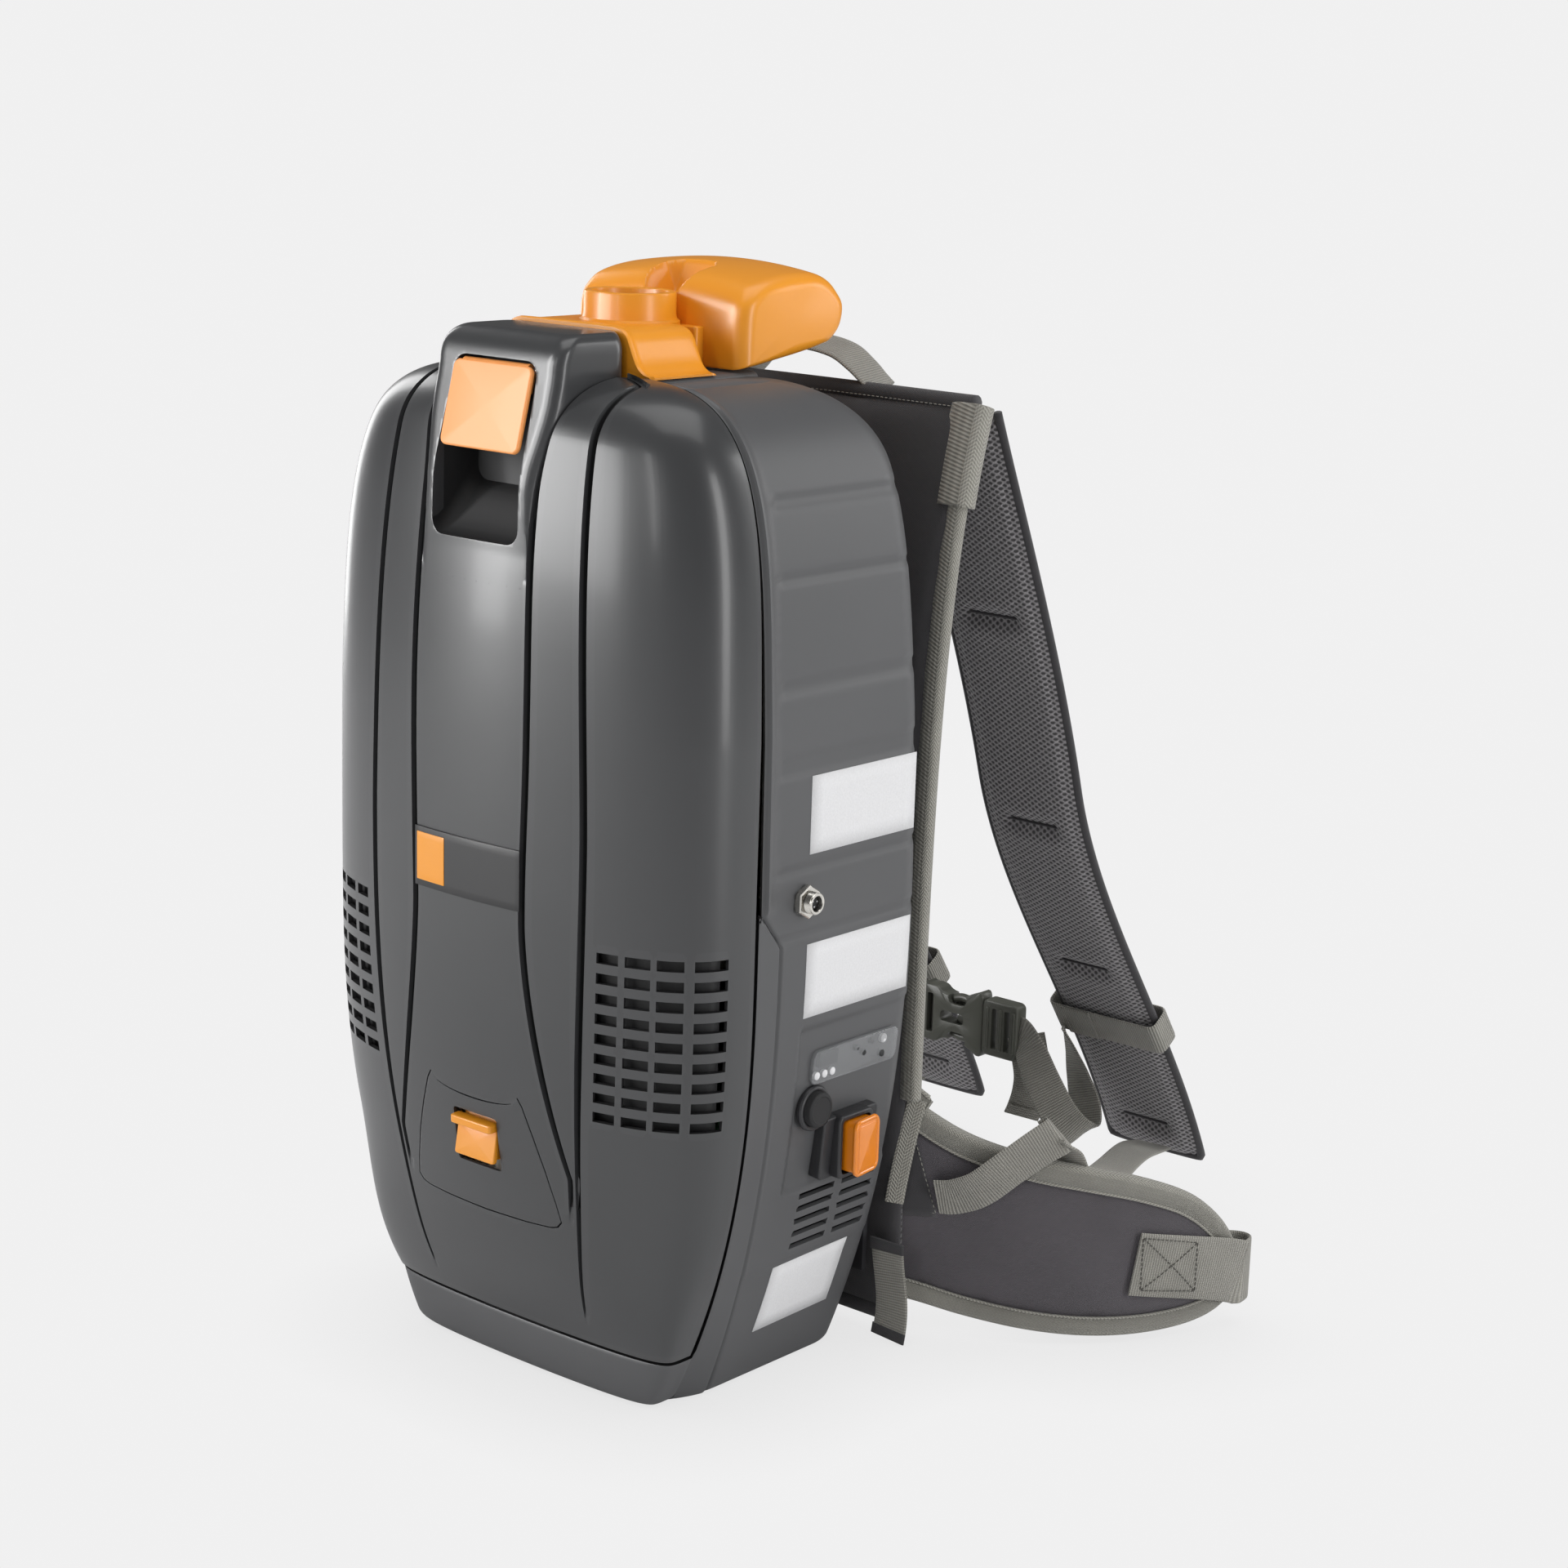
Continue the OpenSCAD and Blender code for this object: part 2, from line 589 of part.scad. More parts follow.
// Outline of the lid's seal, a given distance inside the body's outline
module seal_outline(inset) {
    polygon([for (s = [1, -1], i = [0:levels]) let (k = s > 0 ? i : levels - i,
        z = level(k, lid_z + 11 + inset, body_h - 9 - inset))
        [s * (half_width(inner_z(z, inset)) - inset), z]]);
}
module lid_seal() {
    color("#1d1d1d") along_y(-gap - 5, -gap - 0.2) difference() {
        seal_outline(5.2);
        seal_outline(9.2);
    }
}
module badge_plate() {
    color("#1e1f22") intersection() {
        difference() {
            translate([0, -1.2, 0]) lid_solid(0);
            translate([0, -0.05, 0]) lid_solid(0);
        }
        box(-39.6, 39.6, -80, -40, 281.5, 314.5);
    }
}
module release_handle() {
    color("#f0a659") translate([0, pin_at[0], pin_at[1]]) rotate([-14, 0, 0]) difference() {
        union() {
            box(-28.6, 28.6, -4, -1.2, -44, 1.5);
            box(-24, 24, -2, 5, -12, 1.5);
            rotate([0, 90, 0]) translate([0, 0, -24]) cylinder(d = 7, h = 48);
        }
        translate([-60, 0, 0]) rotate([0, 90, 0]) cylinder(d = pin_d + run, h = 120);
    }
}
module release_pin() {
    color("#a7aaad") translate([-39, pin_at[0], pin_at[1]]) rotate([0, 90, 0]) cylinder(d = pin_d, h = 78);
}
module exhaust_door() {
    color(charcoal) difference() {
        intersection() {
            lid_solid(0);
            along_y(-90, 0) door_outline(0);
        }
        lid_solid(2.4);
        along_y(-90, 0) translate([-17, latch_z[0] - 5]) square([34, latch_z[1] - latch_z[0] + 9]);
    }
}
module door_latch() {
    color(orange) intersection() {
        union() {
            difference() {
                translate([0, -1, 0]) lid_solid(0);
                lid_solid(1.6);
            }
            box(-15, 15, -68, -58, latch_z[1] - 3, latch_z[1]);
        }
        along_y(-90, -20) translate([-15.5, latch_z[0]]) square([31, latch_z[1] - latch_z[0]]);
    }
    color(orange) intersection() {
        difference() {
            lid_solid(1.5);
            lid_solid(4.2);
        }
        union() {
            along_y(-90, -20) translate([-15, latch_z[0] + 3]) square([30, 16]);
            difference() {
                along_y(-90, -20) translate([-20, latch_z[0] + 1]) square([40, 20]);
                translate([0, -0.25, 0]) difference() {
                    lid_solid(0);
                    lid_solid(3);
                }
            }
        }
    }
}
module exhaust_filter() {
    color("#e3e2dc") box(-38, 38, -42, -20, 112, 158);
    color(dark) difference() {
        box(-42, 42, -43, -18, 108, 162);
        box(-38.1, 38.1, -44, -17, 111.9, 158.1);
    }
}

// ---- Harness ----
module harness_board() {
    color(dark) difference() {
        box(-108, 108, board_y, board_y + board_t, 40, 480);
        for (p = board_screws) translate([p.x, board_y - 1, p[1]]) rotate([-90, 0, 0])
            cylinder(d = 4.4, h = 6);
    }
}
pad_y = 154;
pad_path = bezier([[pad_y + 7, 12], [pad_y + 7, 260], [pad_y + 2, 420], [194, 538]], 12);
module back_pad() {
    color(mesh_grey) along_x(-pad_w / 2, pad_w / 2) band(pad_path, 13);
}
module grab_handle() {
    color(taupe) translate([0, 206, 542.5]) along_y(-14, 14) difference() {
        intersection() {
            circle(46);
            translate([-60, 0]) square([120, 20]);
        }
        intersection() {
            circle(43.5);
            translate([-60, -1]) square([120, 18.5]);
        }
    }
}
strap_x = 90;
strap_upper = bezier([[214, 533], [236, 482], [284, 390], [312, 300]], 9);
strap_lower = bezier([[312, 300], [340, 215], [428, 130], [476, 30]], 9);
strap_path = concat(strap_upper, [for (i = [1:9]) strap_lower[i]]);
module shoulder_strap() {
    color(mesh_grey) along_x(strap_x - strap_w / 2, strap_x + strap_w / 2) band(strap_path, strap_t);
}
module shoulder_strap_right() { shoulder_strap(); }
module shoulder_strap_left() { mirror([1, 0, 0]) shoulder_strap(); }
// Webbing band round each strap at chest height
band_at = [415.2, 130];
band_lean = 35;
module strap_band() {
    color(taupe) translate([strap_x, band_at[0], band_at[1]]) rotate([band_lean, 0, 0]) difference() {
        cube([strap_w + 6, strap_t + 6, webbing_w], center = true);
        cube([strap_w + 2, strap_t + 3, webbing_w + 2], center = true);
    }
}
module strap_band_right() { strap_band(); }
module strap_band_left() { mirror([1, 0, 0]) strap_band(); }
// Buckle across the chest
buckle_y = 392;
buckle_z = 112;
module sternum_webbing(x0) {
    color(taupe) translate([0, buckle_y + 8, buckle_z])
        box(x0, 48.6, -1, 1, -webbing_w / 2, webbing_w / 2);
}
module sternum_webbing_right() { sternum_webbing(37); }
module sternum_webbing_left() { mirror([1, 0, 0]) sternum_webbing(41.5); }
module buckle_female() {
    color("#4b4c46") translate([0, buckle_y, buckle_z]) difference() {
        box(-40, 8, -6, 6, -19, 19);
        box(-24, 20, -3.6, 3.6, -15.5, 15.5);
        box(-37, -31, -20, 20, -13, 13);
        box(-18, -4, -20, 20, 9, 25);
        box(-18, -4, -20, 20, -25, -9);
        box(-18, 2, -20, 20, -4, 4);
    }
}
module buckle_male() {
    color("#4b4c46") translate([0, buckle_y, buckle_z]) difference() {
        union() {
            box(8.3, 36, -6, 6, -19, 19);
            for (s = [-1, 1]) box(-20, 9, -3.2, 3.2, s * 12 - 3, s * 12 + 3);
            box(-14, 9, -3.2, 3.2, -3, 3);
        }
        box(16, 21, -20, 20, -14, 14);
        box(26, 31, -20, 20, -14, 14);
    }
}
// Hip wings: curved pads that splay outwards from the foot of the back pad
wing_path = bezier([[137, 178], [176, 202], [232, 240], [252, 318]], 12);
function wing_z0(t) = 24 - 22 * sin(120 * t) + 14 * pow(t, 10);
function wing_z1(t) = 142 - 50 * t - 42 * pow(t, 8);
module hip_wing() {
    n = len(wing_path) - 1;
    a = offset_path(wing_path, wing_t / 2);
    b = offset_path(wing_path, -wing_t / 2);
    color("#5a565c") loft([for (i = [0:n]) let (t = i / n)
        [[b[i].x, b[i].y, wing_z0(t)], [a[i].x, a[i].y, wing_z0(t)],
            [a[i].x, a[i].y, wing_z1(t)], [b[i].x, b[i].y, wing_z1(t)]]]);
}
module hip_wing_right() { hip_wing(); }
module hip_wing_left() { mirror([1, 0, 0]) hip_wing(); }
web_z = [28, 66];
hip_buckle_at = [203, 264];
hip_buckle_turn = 50;
module hip_webbing() {
    outer = offset_path(wing_path, -wing_t / 2 - 1.6);
    inner = offset_path(wing_path, wing_t / 2 + 1.6);
    loop = concat([for (i = [7:12]) outer[i]], [[254.5, 325.5], [249, 327.5], [244.5, 322]],
        [for (i = [12:-1:10]) inner[i]],
        [hip_buckle_at + 15 * [cos(hip_buckle_turn), sin(hip_buckle_turn)]]);
    color(taupe) translate([0, 0, web_z[0]]) linear_extrude(web_z[1] - web_z[0]) band(loop, 2);
}
module hip_webbing_right() { hip_webbing(); }
module hip_webbing_left() { mirror([1, 0, 0]) hip_webbing(); }
// Open halves of the hip buckle, hanging on the inner side of the wings
module at_hip_buckle() {
    translate([hip_buckle_at[0], hip_buckle_at[1], (web_z[0] + web_z[1]) / 2])
        rotate([0, 0, hip_buckle_turn])
        children();
}
module hip_buckle_female() {
    color("#4b4c46") at_hip_buckle() difference() {
        box(-44, 8, -6, 6, -24, 24);
        box(-60, -8, -3.6, 3.6, -20, 20);
        box(-3, 4, -20, 20, -19.6, 19.6);
        box(-34, -20, -20, 20, 13, 30);
        box(-34, -20, -20, 20, -30, -13);
    }
}
module hip_buckle_male() {
    color("#4b4c46") mirror([1, 0, 0]) at_hip_buckle() difference() {
        union() {
            box(-10, 12, -6, 6, -24, 24);
            for (s = [-1, 1]) box(-38, -9, -3, 3, s * 16 - 3.5, s * 16 + 3.5);
            box(-30, -9, -3, 3, -3, 3);
        }
        box(-4, 0, -20, 20, -19.6, 19.6);
        box(4, 8, -20, 20, -19.6, 19.6);
    }
}
// Lower webbing: from the root of each wing back to the foot of the strap
lower_from = [119, 184, 140];
lower_to = [97, 440, 46];
module lower_webbing() {
    color(taupe) loft([for (p = [lower_from, lower_to])
        [for (c = [[-1, 1], [1, 1], [1, -1], [-1, -1]]) p + [c.x, 0, c.y * webbing_w / 2]]]);
}
module lower_webbing_right() { lower_webbing(); }
module lower_webbing_left() { mirror([1, 0, 0]) lower_webbing(); }
module lower_tabs() {
    color(taupe) for (s = [-1, 1]) box(s * 122 - 11, s * 122 + 11, 147, 150, 3, 62);
}

front_frame();
lid_hinge_pin();
rear_housing();
chamber_floor();
hose_inlet();
inlet_seal();
bag_collar();
dust_bag();
filter_frame();
pre_filter();
motor_housing();
motor_cover();
motor_mounts();
motor_stator();
motor_bearings();
rotor_shaft();
fan_wheel();
battery_pack();
battery_cradle();
control_board();
indicator_window();
button_bezel();
speed_button();
switch_body();
switch_rocker();
charge_socket();
socket_nut();
side_labels();
housing_screws();
lid_shell();
lid_seal();
badge_plate();
release_handle();
release_pin();
exhaust_door();
door_latch();
exhaust_filter();
harness_board();
back_pad();
grab_handle();
shoulder_strap_right();
shoulder_strap_left();
strap_band_right();
strap_band_left();
lower_webbing_right();
lower_webbing_left();
sternum_webbing_right();
sternum_webbing_left();
buckle_female();
buckle_male();
hip_wing_right();
hip_wing_left();
hip_webbing_right();
hip_webbing_left();
hip_buckle_female();
hip_buckle_male();
lower_tabs();
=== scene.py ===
import math

import bmesh
import bpy
import numpy as np
from mathutils import Matrix, Vector


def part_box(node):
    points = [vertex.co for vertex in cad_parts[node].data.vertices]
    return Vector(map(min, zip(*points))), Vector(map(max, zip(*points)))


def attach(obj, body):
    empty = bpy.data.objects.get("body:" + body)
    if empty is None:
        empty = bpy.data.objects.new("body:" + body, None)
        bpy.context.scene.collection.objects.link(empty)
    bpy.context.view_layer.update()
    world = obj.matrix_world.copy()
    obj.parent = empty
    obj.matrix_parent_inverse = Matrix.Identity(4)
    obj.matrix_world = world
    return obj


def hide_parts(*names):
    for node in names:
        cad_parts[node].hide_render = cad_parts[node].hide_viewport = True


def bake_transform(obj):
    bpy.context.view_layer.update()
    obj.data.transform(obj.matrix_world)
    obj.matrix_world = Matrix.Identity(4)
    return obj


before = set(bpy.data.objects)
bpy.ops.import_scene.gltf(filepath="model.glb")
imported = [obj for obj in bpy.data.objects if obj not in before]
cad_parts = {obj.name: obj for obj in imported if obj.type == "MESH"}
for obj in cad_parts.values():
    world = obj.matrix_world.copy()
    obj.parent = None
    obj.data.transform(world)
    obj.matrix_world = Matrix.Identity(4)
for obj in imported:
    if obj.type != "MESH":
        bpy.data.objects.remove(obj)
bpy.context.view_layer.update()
MM = 0.001

# ---- Driving dimensions of the body, in millimetres, in the frame's axes ----
HALF_W = 144.5
BODY_H = 559.0
LID_DEPTH = 70.7
REAR_DEPTH = 143.0
FRAME_Y = 20.7
LID_BOTTOM = 31.0
TOP_Z = 555.0
INLET_Y = 48.0
CHIN_TOP = 29.2
BORE_R = 23.2
WEB_W, WEB_T = 24.5, 1.7

# ---- Directions and light levels ----
X, Y, Z = (1, 0, 0), (0, 1, 0), (0, 0, 1)
FRONT, FLANK, PLAN = (X, Z), (Y, Z), (X, Y)
PAPER_TONE = 0.875
DIFFUSE_SKY = 0.44
GLOSSY_SKY = 0.09


# ---- Small helpers ----
def lerp(a, b, t):
    """Value a share t of the way from a to b."""
    return a + (b - a) * t


def smooth(t):
    """0 below 0, 1 above 1 and an S-curve between."""
    t = np.clip(t, 0.0, 1.0)
    return t * t * (3 - 2 * t)


def bump_between(v, lo, hi, soft):
    """1 between lo and hi, falling smoothly to 0 over soft on each side."""
    return smooth((v - lo + soft) / soft) * smooth((hi + soft - v) / soft)


def bezier(points, count):
    """Cubic curve from four control points."""
    p = [np.array(q, float) for q in points]
    t = np.linspace(0, 1, count)[:, None]
    u = 1 - t
    return u**3 * p[0] + 3 * u * u * t * p[1] + 3 * u * t * t * p[2] + t**3 * p[3]


def around(count):
    """Even angles round a full turn."""
    return np.linspace(0, 2 * math.pi, count, endpoint=False)


def path_length(path):
    """Length of a polyline."""
    return np.linalg.norm(np.diff(path, axis=0), axis=1).sum()


def arc_length(path):
    """Distance along a polyline at each of its points."""
    return np.concatenate([[0], np.cumsum(np.linalg.norm(np.diff(path, axis=0), axis=1))])


def resample(path, count, values=None):
    """Points at equal steps along a polyline, or the given values at those points."""
    path = np.array(path, float)
    values = path if values is None else values
    length = arc_length(path)
    steps = np.linspace(0, length[-1], count)
    return np.stack([np.interp(steps, length, values[:, k]) for k in range(values.shape[1])], 1)


def tangents(path):
    """Unit direction of a polyline at each of its points."""
    ahead = np.gradient(path, axis=0)
    return ahead / np.linalg.norm(ahead, axis=1)[:, None]


def catmull(points, count):
    """Smooth curve through the given points, at equal steps."""
    p = np.array(points, float)
    p = np.vstack([2 * p[0] - p[1], p, 2 * p[-1] - p[-2]])
    out = []
    for i in range(1, len(p) - 2):
        for t in np.linspace(0, 1, 12, endpoint=False):
            out.append(0.5 * (2 * p[i] + (p[i + 1] - p[i - 1]) * t
                + (2 * p[i - 1] - 5 * p[i] + 4 * p[i + 1] - p[i + 2]) * t * t
                + (3 * p[i] - p[i - 1] - 3 * p[i + 1] + p[i + 2]) * t**3))
    out.append(p[-2])
    return resample(out, count)


def new_object(name, verts, faces, finish=None, uvs=None, slots=None, extra=()):
    """Mesh object from points in millimetres; uvs are per vertex, slots per face."""
    mesh = bpy.data.meshes.new(name)
    mesh.from_pydata([tuple(v) for v in np.array(verts, float) * MM], [], [tuple(f) for f in faces])
    mesh.validate()
    if uvs is not None:
        layer = mesh.uv_layers.new(name="weave")
        uv = np.array(uvs, float)
        for loop in mesh.loops:
            layer.data[loop.index].uv = uv[loop.vertex_index] * MM
    obj = bpy.data.objects.new(name, mesh)
    bpy.context.scene.collection.objects.link(obj)
    for m in (finish, *extra):
        if m is not None:
            mesh.materials.append(m)
    if slots is not None:
        mesh.polygons.foreach_set("material_index", slots)
    mesh.polygons.foreach_set("use_smooth", [True] * len(mesh.polygons))
    return obj


def fix_normals(obj, weld=False):
    """Turns all faces of a mesh outwards, after joining points that lie on each other if asked."""
    bm = bmesh.new()
    bm.from_mesh(obj.data)
    if weld:
        bmesh.ops.remove_doubles(bm, verts=bm.verts, dist=1e-6)
    bmesh.ops.recalc_face_normals(bm, faces=bm.faces)
    bm.to_mesh(obj.data)
    bm.free()
    return obj


def facing(obj, face, direction):
    """Makes the normals consistent, with the given face turned in a direction."""
    fix_normals(obj)
    if obj.data.polygons[face].normal.dot(Vector(direction)) < 0:
        obj.data.flip_normals()
    return obj


def apply_all(obj):
    """Applies every modifier of an object to its mesh."""
    graph = bpy.context.evaluated_depsgraph_get()
    graph.update()
    mesh = bpy.data.meshes.new_from_object(obj.evaluated_get(graph))
    obj.modifiers.clear()
    obj.data = mesh
    return obj


def thicken(obj, mm, rim_slot=0):
    """Gives a sheet a wall thickness behind its face."""
    mod = obj.modifiers.new("wall", "SOLIDIFY")
    mod.thickness = mm * MM
    mod.offset = -1
    mod.material_offset_rim = rim_slot
    return apply_all(obj)


def soften(obj, mm, segments=3, angle=35):
    """Rounds the edges that are sharper than an angle."""
    mod = obj.modifiers.new("edges", "BEVEL")
    mod.width = mm * MM
    mod.segments = segments
    mod.limit_method = "ANGLE"
    mod.angle_limit = math.radians(angle)
    mod.harden_normals = False
    return apply_all(obj)


def cut(obj, *tools, operation="DIFFERENCE", solver="MANIFOLD"):
    """Takes tools out of an object, or trims it to them, and removes the tools."""
    for tool in tools:
        mod = obj.modifiers.new("cut", "BOOLEAN")
        mod.operation = operation
        mod.solver = solver
        mod.object = tool
    apply_all(obj)
    for tool in tools:
        bpy.data.objects.remove(tool, do_unlink=True)
    return obj


def shade_by_angle(obj, degrees=32):
    """Smooth shading with sharp edges where faces meet at more than the given angle."""
    mesh = obj.data
    mesh.polygons.foreach_set("use_smooth", [True] * len(mesh.polygons))
    bm = bmesh.new()
    bm.from_mesh(mesh)
    limit = math.radians(degrees)
    for e in bm.edges:
        e.smooth = not (len(e.link_faces) == 2 and e.calc_face_angle(0) > limit)
    bm.to_mesh(mesh)
    bm.free()
    return obj


def refinish(obj, finish, test):
    """Gives a second finish to the faces that satisfy a test."""
    obj.data.materials.append(finish)
    for face in obj.data.polygons:
        face.material_index = 1 if test(face) else 0


def grid_faces(rows, columns, wrap=False, skip=None):
    """Quads of a grid of points, with columns joined round when wrap is true."""
    faces = []
    for r in range(rows - 1):
        for c in range(columns if wrap else columns - 1):
            if skip is not None and skip(r, c):
                continue
            d = (c + 1) % columns
            faces.append((r * columns + c, r * columns + d, (r + 1) * columns + d, (r + 1) * columns + c))
    return faces


def end_caps(rows, columns):
    """End faces of a tube made with grid_faces."""
    last = rows * columns - 1
    return [tuple(range(columns)), tuple(range(last, last - columns, -1))]


def strand(name, verts, uvs, columns, finish):
    """Closed strand of cloth from rings with a number of points each."""
    rows = len(verts) // columns
    faces = grid_faces(rows, columns, wrap=True) + end_caps(rows, columns)
    return fix_normals(new_object(name, verts, faces, finish, uvs=uvs))


def pad_faces(rows, cols):
    """Faces of a closed pad whose every row has cols points on its front, then cols on its back."""
    faces = []
    n = 2 * cols
    for i in range(rows - 1):
        for k in range(cols - 1):
            a = i * n + k
            faces.append((a, a + 1, a + n + 1, a + n))
            b = i * n + cols + k
            faces.append((b, b + n, b + n + 1, b + 1))
        for k, m in ((0, cols), (cols - 1, 2 * cols - 1)):
            faces.append((i * n + k, i * n + m, (i + 1) * n + m, (i + 1) * n + k))
    for i in (0, rows - 1):
        for k in range(cols - 1):
            a = i * n + k
            faces.append((a, a + 1, a + 1 + cols, a + cols))
    return faces


def sheet(name, rows, finish):
    """Open skin through rows of points of equal length."""
    points = np.array(rows, float)
    return new_object(name, points.reshape(-1, 3), grid_faces(*points.shape[:2]), finish)


def place(obj, body, slot, *nodes):
    """Rides a finished piece on its body and hides the CAD nodes it stands for; slot is not used."""
    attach(obj, body)
    if nodes:
        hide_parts(*nodes)
    return obj


def piece(node, parts, body, slot):
    """Joins parts into the finished form of a CAD node, on its body; slot is not used."""
    return place(joined(node + "_finished", parts), body, slot, node)


def place_bent(obj, a, b, start, end, slot, *nodes):
    """Bakes a fabric piece's transform into its mesh and hides the CAD parts it stands for; a, b, start, end
    and slot are not used.
    """
    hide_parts(*nodes)
    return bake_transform(obj)


def loft(name, loops, finish, cap=True):
    """Closed skin through loops with equal numbers of points, capped by fans."""
    loops = np.array(loops, float)
    m, n = loops.shape[:2]
    verts = loops.reshape(-1, 3)
    faces = grid_faces(m, n, wrap=True)
    if cap:
        verts = np.vstack([verts, loops[0].mean(0), loops[-1].mean(0)])
        faces += [(m * n, (i + 1) % n, i) for i in range(n)]
        faces += [(m * n + 1, (m - 1) * n + i, (m - 1) * n + (i + 1) % n) for i in range(n)]
    return fix_normals(new_object(name, verts, faces, finish))


def rounded_loop(half_w, half_h, r, steps=6):
    """Corner-rounded rectangle as 2D points, anticlockwise."""
    r = min(r, half_w, half_h)
    out = []
    for cx, cy, a0 in ((1, 1, 0), (-1, 1, 90), (-1, -1, 180), (1, -1, 270)):
        for k in range(steps + 1):
            a = math.radians(a0 + 90 * k / steps)
            out.append((cx * (half_w - r) + r * math.cos(a), cy * (half_h - r) + r * math.sin(a)))
    return np.array(out)


def slab(name, centre, half, r, edge, axes, finish, steps=6):
    """Plate with rounded corners r and softened edges. axes are its two in-plane directions."""
    u, v = (np.array(a, float) / np.linalg.norm(a) for a in axes)
    w = np.cross(u, v)
    loops = []
    for side in (-1, 1):
        angles = np.linspace(0, math.pi / 2, 5)
        for a in angles if side < 0 else angles[::-1]:
            inset = edge * (1 - math.sin(a))
            depth = side * (half[2] - edge + edge * math.cos(a))
            ring = rounded_loop(half[0] - inset, half[1] - inset, max(0.2, r - inset), steps)
            loops.append([np.array(centre) + u * p[0] + v * p[1] + w * depth for p in ring])
    return loft(name, loops, finish)


def tube(name, centre, axis, profile, finish, segments=64):
    """Turned part: profile is a list of (radius, height) along the axis."""
    axis = np.array(axis, float) / np.linalg.norm(axis)
    side = np.cross(axis, (0, 0, 1) if abs(axis[2]) < 0.9 else (1, 0, 0))
    side /= np.linalg.norm(side)
    other = np.cross(axis, side)
    loops = []
    for radius, height in profile:
        angles = around(segments)
        loops.append([np.array(centre) + axis * height + radius * (side * math.cos(a) + other * math.sin(a))
            for a in angles])
    verts = np.array(loops).reshape(-1, 3)
    obj = new_object(name, verts, grid_faces(len(profile), segments, wrap=True), finish)
    return shade_by_angle(fix_normals(obj, weld=True), 30)


def joined(name, objects):
    """One object from several, keeping their materials."""
    base = objects[0]
    with bpy.context.temp_override(active_object=base, selected_editable_objects=objects,
            selected_objects=objects, object=base):
        bpy.ops.object.join()
    base.name = name
    base.data.name = name
    return base


# ---- Node materials ----
def material(name, **values):
    """New node material with its tree and shader; values name the shader's inputs, with _ for spaces."""
    m = bpy.data.materials.new(name)
    m.use_nodes = True
    tree = m.node_tree
    shader = tree.nodes["Principled BSDF"]
    for key, value in values.items():
        shader.inputs[key.replace("_", " ")].default_value = value
    return m, tree, shader


def tint(colour, factor):
    """Colour made darker or lighter, with full opacity."""
    return tuple(min(1, c * factor) for c in colour) + (1,)


def add(tree, kind, **values):
    """New node with its inputs or settings filled in."""
    node = tree.nodes.new(kind)
    for key, value in values.items():
        if key in node.inputs:
            node.inputs[key].default_value = value
        else:
            setattr(node, key, value)
    return node


def math_node(tree, operation, a, b=0.0, c=None):
    """Result of one math step on numbers or sockets."""
    node = tree.nodes.new("ShaderNodeMath")
    node.operation = operation
    for i, v in enumerate((a, b) if c is None else (a, b, c)):
        if isinstance(v, (int, float)):
            node.inputs[i].default_value = v
        else:
            tree.links.new(v, node.inputs[i])
    return node.outputs[0]


def mix_colour(tree, factor, a, b):
    """Colour a turning to colour b as factor goes from 0 to 1."""
    node = tree.nodes.new("ShaderNodeMix")
    node.data_type = "RGBA"
    for socket, v in ((node.inputs[0], factor), (node.inputs[6], a), (node.inputs[7], b)):
        if hasattr(v, "links"):
            tree.links.new(v, socket)
        else:
            socket.default_value = v
    return node.outputs[2]


def paint(tree, shader, factor, dark, light):
    """Base colour of a shader, mixed from two colours."""
    tree.links.new(mix_colour(tree, factor, dark, light), shader.inputs["Base Color"])


def roughen(tree, shader, value, span, least):
    """Roughness of a shader, from least upwards with a value."""
    tree.links.new(math_node(tree, "MULTIPLY_ADD", value, span, least), shader.inputs["Roughness"])


def bump(tree, shader, height, strength, distance):
    """Relief of a surface from a height."""
    node = add(tree, "ShaderNodeBump", Strength=strength, Distance=distance)
    tree.links.new(height, node.inputs["Height"])
    tree.links.new(node.outputs[0], shader.inputs["Normal"])


def coords(tree, kind="Object"):
    """Texture coordinates of one kind."""
    return tree.nodes.new("ShaderNodeTexCoord").outputs[kind]


def split(tree, vector):
    """The three parts of a vector."""
    node = tree.nodes.new("ShaderNodeSeparateXYZ")
    tree.links.new(vector, node.inputs[0])
    return node.outputs


def noise_at(tree, vector, scale, detail=3.0):
    """Noise value at a place."""
    node = add(tree, "ShaderNodeTexNoise", Scale=scale, Detail=detail)
    tree.links.new(vector, node.inputs["Vector"])
    return node.outputs[0]


def moulded(name, colour, rough, grain=900.0, depth=0.00004, shade=0.12, coat=0.0, edge=0.0):
    """Moulded plastic: fine spark-eroded grain, faint flow marks and slightly paler edges that are a painted
    highlight.
    """
    m, tree, shader = material(name, Coat_Weight=coat, Coat_Roughness=0.12)
    at = coords(tree)
    fine = noise_at(tree, at, grain, 2.0)
    flow = noise_at(tree, at, 7.0, 3.0)
    base = mix_colour(tree, flow, tint(colour, 1 - shade), tint(colour, 1 + shade))
    if edge:
        # Paler colour on sharp edges, found by pointiness: a painted highlight.
        geometry = tree.nodes.new("ShaderNodeNewGeometry")
        edge_highlight = math_node(tree, "SUBTRACT", geometry.outputs["Pointiness"], 0.515)
        edge_highlight = math_node(tree, "MULTIPLY", edge_highlight, 12.0)
        edge_highlight = math_node(tree, "MINIMUM", math_node(tree, "MAXIMUM", edge_highlight, 0.0), edge)
        base = mix_colour(tree, edge_highlight, base, tuple(min(1, c * 2.2 + 0.03) for c in colour) + (1,))
    tree.links.new(base, shader.inputs["Base Color"])
    roughen(tree, shader, flow, 0.08, rough - 0.04)
    bump(tree, shader, fine, 0.25, depth)
    return m


